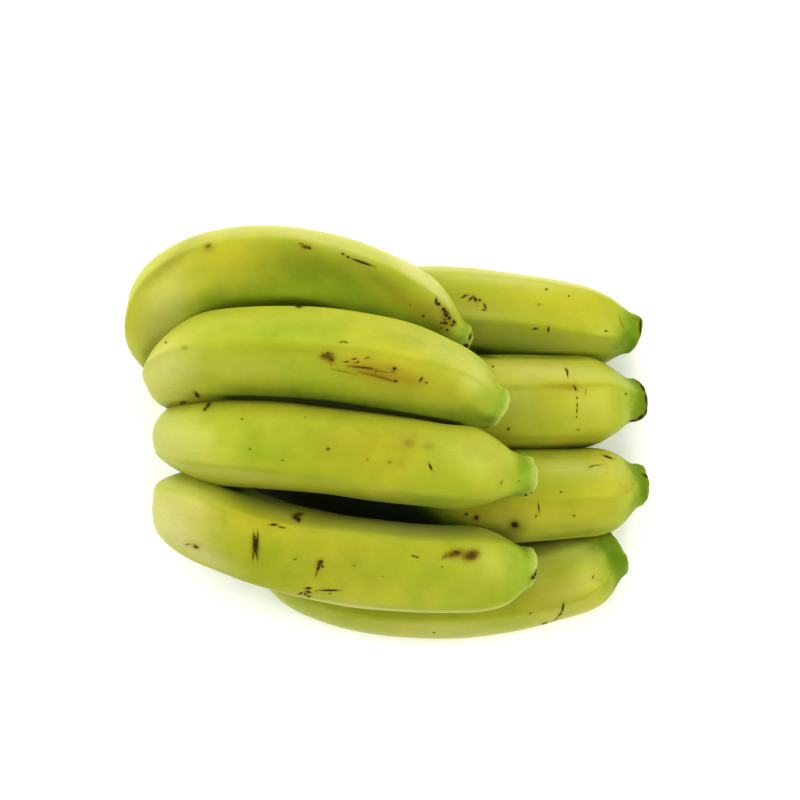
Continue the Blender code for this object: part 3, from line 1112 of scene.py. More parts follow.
    def placed(self, mark: Mark, points: np.ndarray, pixels: np.ndarray,
               facing: np.ndarray) -> Blemish:
        """Lay a mark on the side of the finger that the camera sees.

        Args:
            mark: the mark.
            points: the surface's points, in millimetres.
            pixels: the same points in the photograph.
            facing: the upward part of the outward directions.

        Returns:
            The mark on this finger.
        """
        away = self.turned(pixels, mark)
        size = np.array([mark.long, mark.wide])
        seen = facing > self.SEEN
        distance = np.hypot(away[:, 0], away[:, 1]) + np.where(seen, 0.0, 1000.0)
        beyond = np.maximum(np.abs(away) - size, 0.0) * MM_A_PIXEL
        gap = np.where(seen, np.hypot(beyond[:, 0], beyond[:, 1]), NOWHERE)
        return Blemish(away / size, gap, points[np.argmin(distance)], mark.long * MM_A_PIXEL + 2.0,
                       (mark.tone, mark.ragged, mark.soft))

    def speck(self, points: np.ndarray, straight: np.ndarray, chance: np.random.Generator,
              facing: np.ndarray) -> Blemish | None:
        """Lay a small mark at a random place.

        Args:
            points: the surface's points, in millimetres.
            straight: the unrolled coordinates.
            chance: the random numbers of this finger's specks.
            facing: the upward part of the outward directions.

        Returns:
            The speck, or nothing where the camera would see it.
        """
        s = chance.uniform(40.0, self.total - 12.0)
        angle = chance.uniform(0.0, 2.0 * math.pi)
        size = np.array([chance.uniform(0.3, 1.3), chance.uniform(0.2, 0.5)])
        tone = chance.uniform(0.3, 0.9)
        cos, sin = math.cos(angle), math.sin(angle)
        middle = np.array([s + PATCH * self.seed, self.body_radius * cos, self.body_radius * sin])
        away = straight - middle
        nearest = int(np.argmin(np.linalg.norm(away, axis=1)))
        if facing[nearest] > 0.25:
            return None
        flat = np.stack([away[:, 0], away[:, 2] * cos - away[:, 1] * sin], axis=1)
        inward = away[:, 1] * cos + away[:, 2] * sin
        beyond = np.maximum(np.abs(flat) - size, 0.0)
        near = np.abs(inward) < self.SPECK_DEPTH
        gap = np.where(near, np.hypot(beyond[:, 0], beyond[:, 1]), NOWHERE)
        return Blemish(flat / size, gap, points[nearest], size[0] + 2.0, (tone, 0.5, 0.3))

    @staticmethod
    def layered(found: list[Blemish], count: int) -> dict[str, np.ndarray]:
        """Put each blemish in the first layer where it keeps clear of the others already there."""
        layers: list[list[Blemish]] = [[] for _ in range(MARK_LAYERS)]
        for item in found:
            room = [min((np.linalg.norm(item.centre - o.centre) - item.reach - o.reach for o in layer),
                        default=NOWHERE) for layer in layers]
            free = [k for k, space in enumerate(room) if space > 0.0]
            layers[free[0] if free else int(np.argmax(room))].append(item)
        values = {}
        for k, layer in enumerate(layers):
            place = np.tile([0.0, 0.0, UNMARKED], (count, 1))
            kind = np.tile([0.0, 0.0, 0.3], (count, 1))
            best = np.full(count, MARK_CATCH)
            for item in layer:
                near = item.gap < best
                best[near] = item.gap[near]
                place[near, :2] = item.across[near]
                place[near, 2] = 0.0
                kind[near] = item.kind
            values[f"mark_{k}"] = place
            values[f"mark_kind_{k}"] = kind
        return values

    def build(self, view: PictureView, others: "Sequence[Finger]",
              skin: bpy.types.Material) -> bpy.types.Object:
        """Make the finger's object, give it the skin and put it on the hand."""
        surface = self.surface(view, others)
        mesh = surface.mesh(self.name)
        mesh.materials.append(skin)
        made = put(f"finger_{self.name}", mesh)
        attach(made, BODY)
        LOG.info("%s: %d points, %.0f mm long", made.name, len(surface.points), self.total)
        return made


@dataclass
class Crown:
    """The cut crown with the first lengths of the stalks, grown together.

    Lengths are millimetres. The profile is shares of the height and of the width, and the grain
    is the size of the voxels that the block and the stalks are joined with.
    """

    middle: tuple[float, float] = (-70.0, -13.5)
    half_length: float = 31.0
    half_width: float = 15.5
    height: float = 27.0
    squareness: float = 2.6
    dome: float = 0.8
    profile: tuple[tuple[float, float], ...] = (
        (0.0, 0.96), (0.035, 1.0), (0.18, 0.985), (0.38, 0.985), (0.57, 0.97), (0.73, 0.9),
        (0.88, 0.74), (1.0, 0.45))
    stalk_start: float = 2.0
    stalk_end: float = 21.0
    stalk_extra: float = 0.55
    sink_start: float = 12.0
    sink_depth: float = 1.3
    stalk_reach: float = 26.0
    grain: float = 0.75
    softening: int = 14

    def block(self) -> Surface:
        """The crown's block: superellipse rings |x|^2.6 + |y|^2.6 = 1 up its profile."""
        heights, scale = np.array(self.profile).T
        up = np.linspace(0.0, 1.0, 40)
        heights = np.interp(up, heights, heights) * self.height
        scale = np.interp(up, np.array(self.profile)[:, 0], scale)
        angles = np.linspace(0.0, 2.0 * math.pi, 96, endpoint=False)
        power = 2.0 / self.squareness
        x = self.half_width * np.sign(np.cos(angles)) * np.abs(np.cos(angles)) ** power
        y = self.half_length * np.sign(np.sin(angles)) * np.abs(np.sin(angles)) ** power
        uneven = 1.0 + 0.012 * np.cos(5.0 * angles + 1.0) + 0.01 * np.cos(9.0 * angles + 2.0)
        rings = np.zeros((len(up), len(angles), 3))
        rings[..., 0] = self.middle[0] + scale[:, None] * x * uneven
        rings[..., 1] = self.middle[1] + scale[:, None] * y * uneven
        rings[..., 2] = heights[:, None]
        ends = np.array([[*self.middle, 0.0], [*self.middle, self.height + self.dome]])
        quads, triangles = tube_faces(len(up), len(angles))
        return Surface(np.concatenate([rings.reshape(-1, 3), ends]), quads, triangles)

    def stalk(self, finger: Finger) -> Surface:
        """A round tube along a finger's first stretch, sinking just under its skin at the end."""
        s = np.linspace(self.stalk_start, self.stalk_end, 30)
        angles = np.linspace(0.0, 2.0 * math.pi, 40, endpoint=False)
        _, inward, side = finger.frames(s)
        sunk = smooth_step((s - self.sink_start) / (self.stalk_end - self.sink_start))
        extra = self.stalk_extra - self.sink_depth * sunk
        reach = (finger.radius(s) + extra)[:, None, None]
        rings = finger.centre(s)[:, None] + reach * outward(angles, inward, side)
        points = np.concatenate([rings.reshape(-1, 3), finger.centre(s[[0, -1]])])
        points[:, 2] = np.maximum(points[:, 2], 0.0)
        return Surface(points, *tube_faces(len(s), len(angles)))

    def build(self, fingers: Sequence[Finger], skin: bpy.types.Material) -> bpy.types.Object:
        """Join the block and the stalks by a voxel remesh and dress the result.

        Args:
            fingers: the fingers whose stalks grow out of the crown.
            skin: the crown's material.

        Returns:
            The finished object, which stands for the part's one node.
        """
        pieces = [self.block()] + [self.stalk(finger) for finger in fingers]
        first = np.cumsum([0] + [len(p.points) for p in pieces[:-1]])
        joined = Surface(np.concatenate([p.points for p in pieces]),
                         np.concatenate([p.quads + n for p, n in zip(pieces, first)]),
                         np.concatenate([p.triangles + n for p, n in zip(pieces, first)]))
        rough = put("crown_rough", joined.mesh("crown_rough"))
        remesh = rough.modifiers.new("grown together", "REMESH")
        remesh.mode = "VOXEL"
        remesh.voxel_size = self.grain * MM
        remesh.use_smooth_shade = True
        soften = rough.modifiers.new("softened", "SMOOTH")
        soften.factor = 0.5
        soften.iterations = self.softening
        bpy.context.view_layer.update()
        graph = bpy.context.evaluated_depsgraph_get()
        mesh = bpy.data.meshes.new_from_object(rough.evaluated_get(graph))
        bpy.data.objects.remove(rough)
        mesh.name = "crown"
        self.describe(mesh, fingers)
        mesh.materials.clear()
        mesh.materials.append(skin)
        mesh.shade_smooth()
        made = put("crown", mesh)
        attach(made, BODY)
        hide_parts(NODE)
        LOG.info("%s: %d points", made.name, len(mesh.vertices))
        return made

    def describe(self, mesh: bpy.types.Mesh, fingers: Sequence[Finger]) -> None:
        """Store what the crown's finish reads: place, height, cut face and length up the stalks."""
        flat = np.empty(3 * len(mesh.vertices), dtype=np.float32)
        mesh.vertices.foreach_get("co", flat)
        points = flat.reshape(-1, 3).astype(float) / MM - AXIS_PLACE
        points[:, 2] = np.maximum(points[:, 2], 0.0)
        mesh.vertices.foreach_set("co", ((points + AXIS_PLACE) * MM).astype(np.float32).ravel())
        mesh.update()
        flat = np.empty(3 * len(mesh.vertices), dtype=np.float32)
        mesh.vertices.foreach_get("normal", flat)
        down = -flat.reshape(-1, 3)[:, 2]
        nearest = np.full(len(points), 1e9)
        climb = np.zeros(len(points))
        for finger in fingers:
            s = np.linspace(0.0, self.stalk_reach, 40)
            gap = np.linalg.norm(points[:, None] - finger.centre(s)[None], axis=2)
            best = gap.argmin(axis=1)
            closer = gap.min(axis=1) < nearest
            nearest[closer] = gap.min(axis=1)[closer]
            climb[closer] = s[best][closer]
        cut = smooth_step((down - 0.6) / 0.3) * smooth_step((1.6 - points[:, 2]) / 0.8)
        store_values(mesh, {"straight": points, "from_root": climb, "cut": cut, "above": points[:, 2]})


@dataclass(frozen=True)
class Table:
    """The plain pale table top that the hand lies on."""

    half_side: float = 1.6
    drop: float = 0.0002
    cells: int = 32

    def build(self) -> bpy.types.Object:
        """Make the table as a grid of cells."""
        row = self.cells + 1
        line = np.linspace(-self.half_side, self.half_side, row)
        x, y = np.meshgrid(line, line, indexing="ij")
        points = np.stack([x, y, np.full_like(x, -self.drop)], axis=-1).reshape(-1, 3) / MM - AXIS_PLACE
        k = (np.arange(self.cells)[:, None] * row + np.arange(self.cells)[None, :]).ravel()
        quads = np.stack([k, k + row, k + row + 1, k + 1], axis=1)
        mesh = Surface(points, quads, np.zeros((0, 3), dtype=int)).mesh("table")
        mesh.materials.append(TablePaint().material())
        made = put("table", mesh)
        LOG.info("%s: laid", made.name)
        return made


@dataclass(frozen=True)
class Lamp:
    """One square soft light, by its place and side in metres and its power in watts."""

    name: str
    place: tuple[float, float, float]
    side: float
    power: float


@dataclass(frozen=True)
class Studio:
    """The camera, the soft lights and the pale surroundings."""

    view: PictureView = PictureView()
    lamps: tuple[Lamp, ...] = (
        Lamp("far window", (-0.1, 1.25, 0.8), 1.4, 18.5),
        Lamp("left window", (-1.2, 0.2, 0.85), 1.2, 20.5),
        Lamp("right screen", (1.25, 0.0, 0.9), 1.1, 20.0),
        Lamp("near screen", (0.15, -1.4, 0.55), 1.0, 10.0),
        Lamp("overhead", (0.25, -0.1, 1.7), 1.2, 6.5),
    )
    surroundings: float = 0.05
    print_gamma: float = 0.72
    focus: tuple[float, float, float] = (0.0, 0.0, 0.04)

    def build(self) -> None:
        """Set up the camera, the lamps and the world."""
        data = bpy.data.cameras.new("camera")
        data.lens = self.view.lens
        data.sensor_width = self.view.sensor
        data.clip_start = 0.02
        camera = put("camera", data)
        camera.location = ((AXIS_PLACE + np.array([0.0, 0.0, self.view.height])) * MM).tolist()
        bpy.context.scene.camera = camera
        for lamp in self.lamps:
            self.light(lamp)
        world = bpy.data.worlds.new("surroundings")
        world.use_nodes = True
        background = world.node_tree.nodes["Background"]
        background.inputs["Color"].default_value = (1.0, 1.0, 1.0, 1.0)
        background.inputs["Strength"].default_value = self.surroundings
        bpy.context.scene.world = world
        bpy.context.scene.view_settings.view_transform = "Standard"
        bpy.context.scene.view_settings.look = "None"
        bpy.context.scene.view_settings.gamma = self.print_gamma

    def light(self, lamp: Lamp) -> None:
        """Hang one lamp, facing the middle of the hand."""
        data = bpy.data.lights.new(lamp.name, "AREA")
        data.shape = "SQUARE"
        data.size = lamp.side
        data.energy = lamp.power
        made = put(lamp.name, data)
        made.location = lamp.place
        way = Vector(self.focus) - Vector(lamp.place)
        made.rotation_euler = way.to_track_quat("-Z", "Y").to_euler()
        made.visible_camera = False


# In the smears, dark is painted shade and a negative dark is painted light, and pale is partly painted
# light.
OUTER_1 = Finger(
    "outer_1", Row.OUTER, 14.9, (18.0, 60.0), 27.0, 7.6,
    ((-74, 7, 8), (-81, 11, 16), (-91, 18, 24), (-95.3, 30, 34), (-87, 42.3, 43),
     (-66.5, 50.7, 47.5), (-36, 50.3, 48.5), (-7.5, 41, 48), (8.5, 31.8, 46.8), (25, 21, 42)),
    (35.0, -47.0, -108.0, 180.0, 108.0),
    swells=(Swell(97, 34, -95, 2.6), Swell(32, 16, -55, 9.0), Swell(78, 26, -68, 2.2)),
    taper=0.85, tip_reach=7.0, curl=(-26.0, 40.0, 24.0), flatness=0.72, green=0.02, deep=0.45,
    scar=0.75, seed=1,
    marks=(
        Mark(208, 246, 2.6, 1.8, 20, 0.4, 0.8, 0.6), Mark(301, 244, 2.2, 1.0, -15, 0.4, 0.8, 0.5),
        Mark(306, 247, 3.4, 1.6, -10, 0.6, 0.9, 0.5), Mark(309.5, 248.5, 1.4, 0.9, 0, 0.7),
        Mark(343, 254, 1.5, 0.9, -20, 0.8, 0.4), Mark(348, 257, 1.6, 0.9, -30, 0.8, 0.4),
        Mark(362.5, 262.5, 10.5, 1.1, -19, 0.85, 0.15), Mark(436, 301, 2.6, 1.2, 80, 0.9),
        Mark(438, 304, 2.2, 1.6, -30, 0.85), Mark(444, 310, 2.6, 1.6, -50, 0.9, 0.6),
        Mark(446, 314, 3.4, 2.6, -60, 0.95, 0.7), Mark(449, 318, 1.8, 1.6, 0, 0.85, 0.6),
        Mark(454, 322, 1.9, 1.3, -40, 0.85, 0.6), Mark(441, 323, 1.2, 0.8, 0, 0.9, 0.4),
        Mark(445, 323, 2.6, 1.6, 0, 0.85, 0.7), Mark(452, 325, 1.8, 1.2, 20, 0.85, 0.6),
        Mark(441, 328, 1.0, 0.8, 0, 0.85, 0.4), Mark(447, 330, 1.6, 1.0, 0, 0.9),
        Mark(423, 316, 1.6, 1.0, 15, 0.8, 0.3), Mark(410, 305, 1.2, 0.8, 0, 0.3, 0.4),
        Mark(470, 337, 3.5, 1.0, 70, 0.75, 0.6), Mark(466, 346, 2.4, 2.2, 0, 0.95, 0.7)),
    smears=(
        Smear(208, 248, 7, 5, 20, brown=0.45), Smear(303, 246, 9, 3, -8, brown=0.3),
        Smear(250, 262, 90, 16, 0, warm=0.2), Smear(330, 290, 70, 24, -20, green=0.45),
        Smear(164, 316, 24, 48, -12, pale_and_painted_light=0.55), Smear(240, 229, 90, 9, 2, pale_and_painted_light=0.25),
        Smear(170, 263, 38, 7, 41, brown=0.15, dark=0.28),
        Smear(335, 238, 60, 8, -14, pale_and_painted_light=0.3), Smear(417, 274, 50, 7, -38, pale_and_painted_light=0.7),
        Smear(345, 251, 45, 4, -18, pale_and_painted_light=0.4), Smear(408, 302, 42, 10, -30, warm=0.6),
        Smear(385, 284, 50, 8, -36, dark=0.2),
        # green tint over the painted shade along the contact with the second finger
        Smear(250, 302, 75, 12, 6, green=0.9),
        Smear(335, 272, 85, 18, -17, dark=0.5), Smear(232, 311, 62, 10, 14, dark=-0.75),
        Smear(450, 338, 22, 7, -30, dark=0.45), Smear(270, 274, 75, 17, 2, dark=0.25),
        Smear(440, 322, 16, 12, -40, brown=0.12)))

OUTER_2 = Finger(
    "outer_2", Row.OUTER, 16.8, (20.0, 72.0), 27.0, 7.6,
    ((-74, -7, 10), (-80, -4, 19), (-87, 2, 29), (-89.5, 9, 41), (-81, 14, 53.5),
     (-60, 17.5, 64), (-26, 16.5, 69.3), (0, 11.8, 69), (22, 5.5, 65), (38.5, -3.5, 57)),
    (12.0, -60.0, -122.0, 165.0, 85.0),
    swells=(Swell(44, 16, -85, 3.2), Swell(112, 50, -105, 2.6), Swell(-10, 9, -90, 3.2),
            Swell(-22, 15, 75, -3.0)),
    taper=0.8, tip_reach=8.5, flatness=0.52, green=0.04, deep=0.15, scar=0.3, seed=2,
    marks=(
        Mark(325, 356, 3.0, 1.6, 15, 0.9, 0.8, 0.4), Mark(331, 359, 2.4, 2.0, -30, 0.9, 0.8, 0.4),
        Mark(327.5, 357, 5.2, 2.8, -15, 0.45, 1.1, 0.5),
        Mark(328, 354, 1.6, 1.2, 80, 0.9, 0.6), Mark(341.5, 342, 2.6, 0.9, 10, 0.4, 0.7),
        Mark(346, 342.5, 2.2, 1.1, -20, 0.4, 0.7), Mark(346.8, 361.7, 2.6, 0.8, 5, 0.5, 0.6),
        Mark(354, 359, 2.2, 0.8, 10, 0.5, 0.7), Mark(358, 362, 1.0, 0.8, 0, 0.6),
        Mark(367, 358, 2.2, 0.8, 20, 0.45, 0.7), Mark(362, 367.5, 11.5, 0.9, -5, 0.65, 0.9, 0.4),
        Mark(394.6, 368.6, 1.6, 1.4, 0, 0.9, 0.4), Mark(343, 371.5, 9.0, 0.8, -13, 0.25, 0.7, 0.8),
        Mark(371, 374.8, 11.0, 1.0, -12, 0.32, 0.6, 0.8), Mark(386, 379, 9.0, 1.2, -15, 0.36, 0.6, 0.8),
        Mark(382, 371.5, 12.0, 0.7, -8, 0.28, 0.6, 0.8), Mark(395.6, 381, 1.6, 1.1, 0, 0.8),
        Mark(421, 379.6, 2.4, 1.2, 60, 0.7, 0.6), Mark(426.5, 382.7, 1.2, 0.8, 0, 0.6),
        Mark(299, 306.8, 2.8, 1.1, 0, 0.9, 0.4), Mark(166, 342.5, 1.0, 0.9, 0, 0.6, 0.3),
        Mark(197, 395, 3.6, 1.5, -45, 0.8, 0.6), Mark(183, 402.5, 3.2, 1.2, 10, 0.6, 0.6),
        Mark(185, 348, 3.2, 2.4, 0, 0.12, 0.4, 0.6)),
    smears=(
        Smear(388, 372, 44, 12, -16, brown=0.12, warm=0.6), Smear(360, 366, 28, 8, -10, brown=0.16),
        Smear(296, 351, 26, 3, -4, brown=0.22), Smear(240, 368, 60, 12, 0, pale_and_painted_light=0.2),
        Smear(300, 331, 90, 17, -4, green=0.35, dark=0.15), Smear(415, 338, 55, 13, -25, dark=0.12),
        Smear(330, 399, 75, 5, -7, dark=0.2), Smear(262, 399.5, 60, 3, -3.5, dark=0.7),
        Smear(350, 408, 55, 3, -7, dark=0.7), Smear(430, 419.5, 40, 2.5, -9, dark=0.5),
        Smear(482, 398, 14, 9, -40, dark=-0.5),
        Smear(490, 420, 12, 5, -8, dark=0.6), Smear(385, 382, 50, 12, -12, dark=0.22),
        Smear(476, 378, 16, 18, 0, pale_and_painted_light=0.4),
        Smear(191, 399, 16, 5, 12, brown=0.3), Smear(185, 349, 6, 5, 0, green=0.35),
        Smear(415, 380, 18, 7, -20, brown=0.2), Smear(378, 374, 30, 5, -13, brown=0.42),
        Smear(328, 357, 9, 6, -10, brown=0.35), Smear(392, 368, 10, 4, -10, brown=0.35),
        Smear(168, 368, 26, 30, 10, pale_and_painted_light=0.6), Smear(215, 325, 50, 12, 10, pale_and_painted_light=0.1),
        Smear(440, 352, 40, 12, -26, pale_and_painted_light=0.3)))

OUTER_3 = Finger(
    "outer_3", Row.OUTER, 16.3, (18.0, 68.0), 33.0, 7.6,
    ((-74, -21, 10), (-79, -20, 19), (-85, -17.5, 29), (-86.5, -15.7, 41), (-78.5, -15.7, 53.5),
     (-58, -17.1, 63.5), (-26, -19.8, 68.8), (0, -23.6, 68.6), (27, -27.2, 64.6), (49.5, -29.5, 56.7)),
    (70.0, -32.0, -98.0, -160.0, 138.0),
    swells=(Swell(40, 13, 60, 2.2), Swell(72, 26, 85, 1.7), Swell(94, 28, -95, -1.2),
            Swell(146, 28, -95, -2.0), Swell(145, 34, 88, 2.0)),
    taper=0.98, tip_reach=9.0, flatness=0.3, green=0.1, deep=0.35, scar=0.3, seed=3,
    marks=(
        Mark(208, 405.5, 3.2, 1.4, 50, 0.8), Mark(205, 409, 2.0, 1.3, 30, 0.7),
        Mark(241.8, 419, 1.0, 0.9, 0, 0.5, 0.3), Mark(250, 449, 1.0, 0.9, 0, 0.5, 0.3),
        Mark(282.7, 460.3, 1.1, 0.6, 0, 0.6, 0.3), Mark(328.2, 449.1, 1.6, 1.3, 20, 0.7, 0.4),
        Mark(305.4, 417, 1.0, 0.7, 0, 0.35, 0.3), Mark(430.5, 467, 3.4, 1.0, -65, 0.85, 0.2),
        Mark(367.4, 459.6, 1.3, 0.9, 90, 0.3), Mark(389, 462.4, 2.4, 1.4, 0, 0.2, 0.5, 0.5),
        Mark(501.4, 482.8, 2.0, 0.7, 65, 0.4, 0.3), Mark(525.9, 495.1, 1.3, 1.0, 0, 0.9, 0.4),
        Mark(531.2, 493, 1.0, 0.7, 0, 0.85, 0.3), Mark(518.9, 480.7, 0.7, 0.6, 0, 0.5, 0.2)),
    smears=(
        Smear(408.8, 443.5, 5.5, 4.0, 0, brown=0.62), Smear(428.4, 446.3, 5.5, 3.6, 0, brown=0.5),
        Smear(375, 450, 55, 24, -8, warm=0.4), Smear(300, 425, 60, 22, 0, warm=0.15, green=0.08),
        Smear(402, 463, 5, 6, 0, brown=0.2), Smear(418, 437, 22, 7, -8, brown=0.12),
        Smear(207, 407, 7, 5, 45, brown=0.25), Smear(262, 452, 26, 10, -8, green=0.2),
        Smear(523, 480, 6, 8, 0, green=0.6), Smear(175, 440, 32, 28, -10, pale_and_painted_light=0.6),
        Smear(350, 443, 105, 24, -5, dark=0.24), Smear(470, 452, 34, 16, -12, pale_and_painted_light=0.25),
        Smear(390, 499, 110, 6, -3, dark=0.35), Smear(235, 472, 40, 8, -14, pale_and_painted_light=0.3)))

OUTER_4 = Finger(
    "outer_4", Row.OUTER, 16.4, (16.0, 60.0), 27.0, 7.6,
    ((-74, -34, 8), (-80, -36.5, 16), (-86, -39.5, 25), (-87.5, -42, 36.5), (-78, -46, 47),
     (-54, -54, 53), (-27, -60, 55.8), (0, -63.5, 55.5), (27, -64.5, 52), (50.8, -63.8, 44.0)),
    (35.0, -60.0, -118.0, -176.0, 112.0),
    swells=(Swell(43, 18, 80, 5.0), Swell(56, 14, 80, 1.5), Swell(62, 22, -90, -1.3),
            Swell(-9, 9, -90, 2.2), Swell(120, 50, 52, 1.2)),
    taper=0.74, tip_reach=7.0, twist=22.0, flatness=0.55, green=0.16, deep=0.3, scar=0.45, seed=4,
    marks=(
        Mark(298, 514.8, 4.4, 1.5, 12, 0.95, 0.4), Mark(296.5, 517.8, 3.2, 2.2, -25, 0.95, 0.5),
        Mark(298.8, 520, 1.8, 1.5, 90, 0.9), Mark(273.5, 524.7, 3.6, 1.0, 3, 0.85, 0.4),
        Mark(282, 527.3, 3.2, 0.7, -8, 0.6, 0.6), Mark(255.5, 545.5, 8.5, 2.7, 90, 0.97, 0.3, 0.2),
        Mark(253.6, 537.5, 5.0, 0.5, 88, 0.85, 0.2), Mark(257.9, 537.5, 6.0, 0.5, 92, 0.85, 0.2),
        Mark(253.2, 555, 5.0, 0.5, 84, 0.85, 0.2), Mark(257, 555.5, 5.0, 0.5, 95, 0.8, 0.2),
        Mark(187.6, 544.5, 2.2, 0.8, 10, 0.35, 0.5), Mark(196, 546.7, 2.6, 1.5, -15, 0.55, 0.6),
        Mark(294.8, 559.4, 1.8, 0.7, 5, 0.45, 0.6), Mark(320, 563, 3.0, 2.1, 60, 0.87),
        Mark(318.3, 568, 3.2, 1.3, 70, 0.85), Mark(322.5, 566.5, 1.2, 1.0, -40, 0.8),
        Mark(316.5, 574, 2.5, 0.5, 75, 0.5, 0.6), Mark(308.3, 588.2, 2.6, 1.0, 0, 0.87),
        Mark(308.8, 592, 2.2, 1.0, -15, 0.85, 0.6), Mark(300.3, 593.5, 2.2, 0.8, 25, 0.75, 0.6),
        Mark(305.5, 594.5, 1.6, 0.9, 0, 0.8, 0.6), Mark(309, 596.5, 1.6, 0.9, 0, 0.85, 0.6),
        Mark(329.5, 590.3, 8.8, 0.8, 0, 0.8, 0.3), Mark(330, 593.7, 1.4, 0.6, 0, 0.5, 0.4),
        Mark(454.6, 553.8, 6.4, 2.6, 15, 0.5, 0.5, 0.6), Mark(456.5, 552.5, 2.8, 1.6, -20, 0.72, 0.6, 0.6),
        Mark(471, 555.4, 6.2, 4.0, 20, 0.6, 0.5, 0.6), Mark(445, 556.5, 3.6, 1.4, 40, 0.35, 0.5, 0.5),
        Mark(413, 556, 1.5, 0.7, -10, 0.7, 0.6), Mark(416.6, 557, 1.9, 0.7, -15, 0.75, 0.6),
        Mark(442, 567, 0.8, 0.7, 0, 0.5, 0.3), Mark(354, 565.6, 1.2, 1.0, 0, 0.35),
        Mark(382.8, 576.5, 1.2, 0.6, 0, 0.3), Mark(537.4, 570, 2.6, 1.2, 62, 0.9, 0.6),
        Mark(535.3, 574, 2.4, 1.3, 50, 0.9, 0.6), Mark(533, 577.6, 2.2, 1.5, 20, 0.9, 0.6)),
    smears=(
        Smear(456, 553.5, 11, 4.5, 8, brown=0.9), Smear(471, 555.5, 8.5, 5, 15, brown=0.95),
        Smear(224, 519, 4, 9, 0, green=0.4, brown=0.15), Smear(192, 545, 11, 5, -8, brown=0.25, warm=0.3),
        Smear(250, 520, 70, 9, -8, warm=0.45), Smear(340, 548, 90, 10, -3, warm=0.2, green=0.1),
        Smear(447, 543, 5, 3, 0, green=0.4), Smear(318, 566, 8, 10, 0, brown=0.12),
        Smear(176, 515, 36, 32, -30, pale_and_painted_light=0.85), Smear(205, 557, 40, 12, -34, pale_and_painted_light=0.8),
        Smear(490, 570, 30, 28, 0, pale_and_painted_light=0.1), Smear(340, 603, 90, 6, -8, pale_and_painted_light=0.3),
        Smear(345, 562, 90, 26, -4, dark=0.17), Smear(418, 528, 85, 9, -3, pale_and_painted_light=0.4, green=0.3),
        Smear(262, 504, 50, 6, -24, pale_and_painted_light=0.2, green=0.4), Smear(228, 486, 22, 3.5, -20, dark=1.3)))

INNER_1 = Finger(
    "inner_1", Row.INNER_EDGE, 15.6, (14.0, 56.0), 27.0, 7.8,
    ((-66, 6, 14), (-59, 11, 22), (-46, 19.5, 23.5), (-22, 31, 18.5), (5, 36.5, 15.8),
     (31, 35, 15.8), (52, 33, 15.4), (72, 30.2, 14.4), (95, 26.5, 10)),
    (50.0, -14.0, -86.0, -160.0, 122.0),
    swells=(Swell(-70, 50, -90, 1.5), Swell(-20, 12, -90, 1.6), Swell(103, 34, 88, 2.0)),
    taper=0.65, tip_reach=9.5, tip_blend=6.5, flatness=0.6, green=0.06, deep=0.95, scar=0.95, seed=5,
    marks=(
        Mark(464.7, 296, 2.2, 1.0, 25, 0.75, 0.6), Mark(462.5, 297.5, 1.4, 0.7, 0, 0.5, 0.6),
        Mark(471, 298.5, 2.6, 1.1, 45, 0.6, 0.7), Mark(475, 299, 2.6, 1.2, -60, 0.8, 0.6),
        Mark(479.5, 300, 1.6, 0.9, -30, 0.8), Mark(485, 306.5, 2.6, 1.0, -70, 0.65, 0.6),
        Mark(483.5, 310, 1.8, 1.0, 0, 0.5, 0.6), Mark(546.4, 289.4, 1.3, 0.9, 0, 0.7, 0.4),
        Mark(569, 296, 0.9, 0.7, 0, 0.55, 0.3), Mark(535.3, 328.8, 2.2, 0.8, 10, 0.8, 0.4),
        Mark(548.4, 329.3, 2.6, 0.9, 82, 0.85, 0.3), Mark(606, 331, 1.2, 0.7, 0, 0.75, 0.3),
        Mark(620.5, 321, 4.8, 0.5, -80, 0.4, 0.4), Mark(623, 326, 3.0, 0.4, -70, 0.3, 0.4),
        Mark(539, 304.5, 3.0, 1.4, 0, 0.15, 0.6, 0.5), Mark(642, 345.5, 3.2, 1.9, 70, 0.97, 0.6),
        Mark(640.4, 326, 8.0, 1.0, 88, 0.9, 0.5)),
    smears=(
        Smear(474, 300, 14, 9, -20, brown=0.16, warm=0.2), Smear(540, 305, 60, 12, -4, warm=0.18),
        Smear(520, 345, 60, 8, 0, green=0.3), Smear(640, 320, 7, 6, 0, brown=0.18),
        Smear(500, 277, 100, 7, -6, pale_and_painted_light=0.6), Smear(545, 342, 70, 8, -3, pale_and_painted_light=0.3),
        Smear(480, 318, 40, 14, -6, pale_and_painted_light=0.25), Smear(480, 350, 16, 4, -8, dark=1.0),
        Smear(545, 354, 60, 2.2, -1, dark=0.5)))

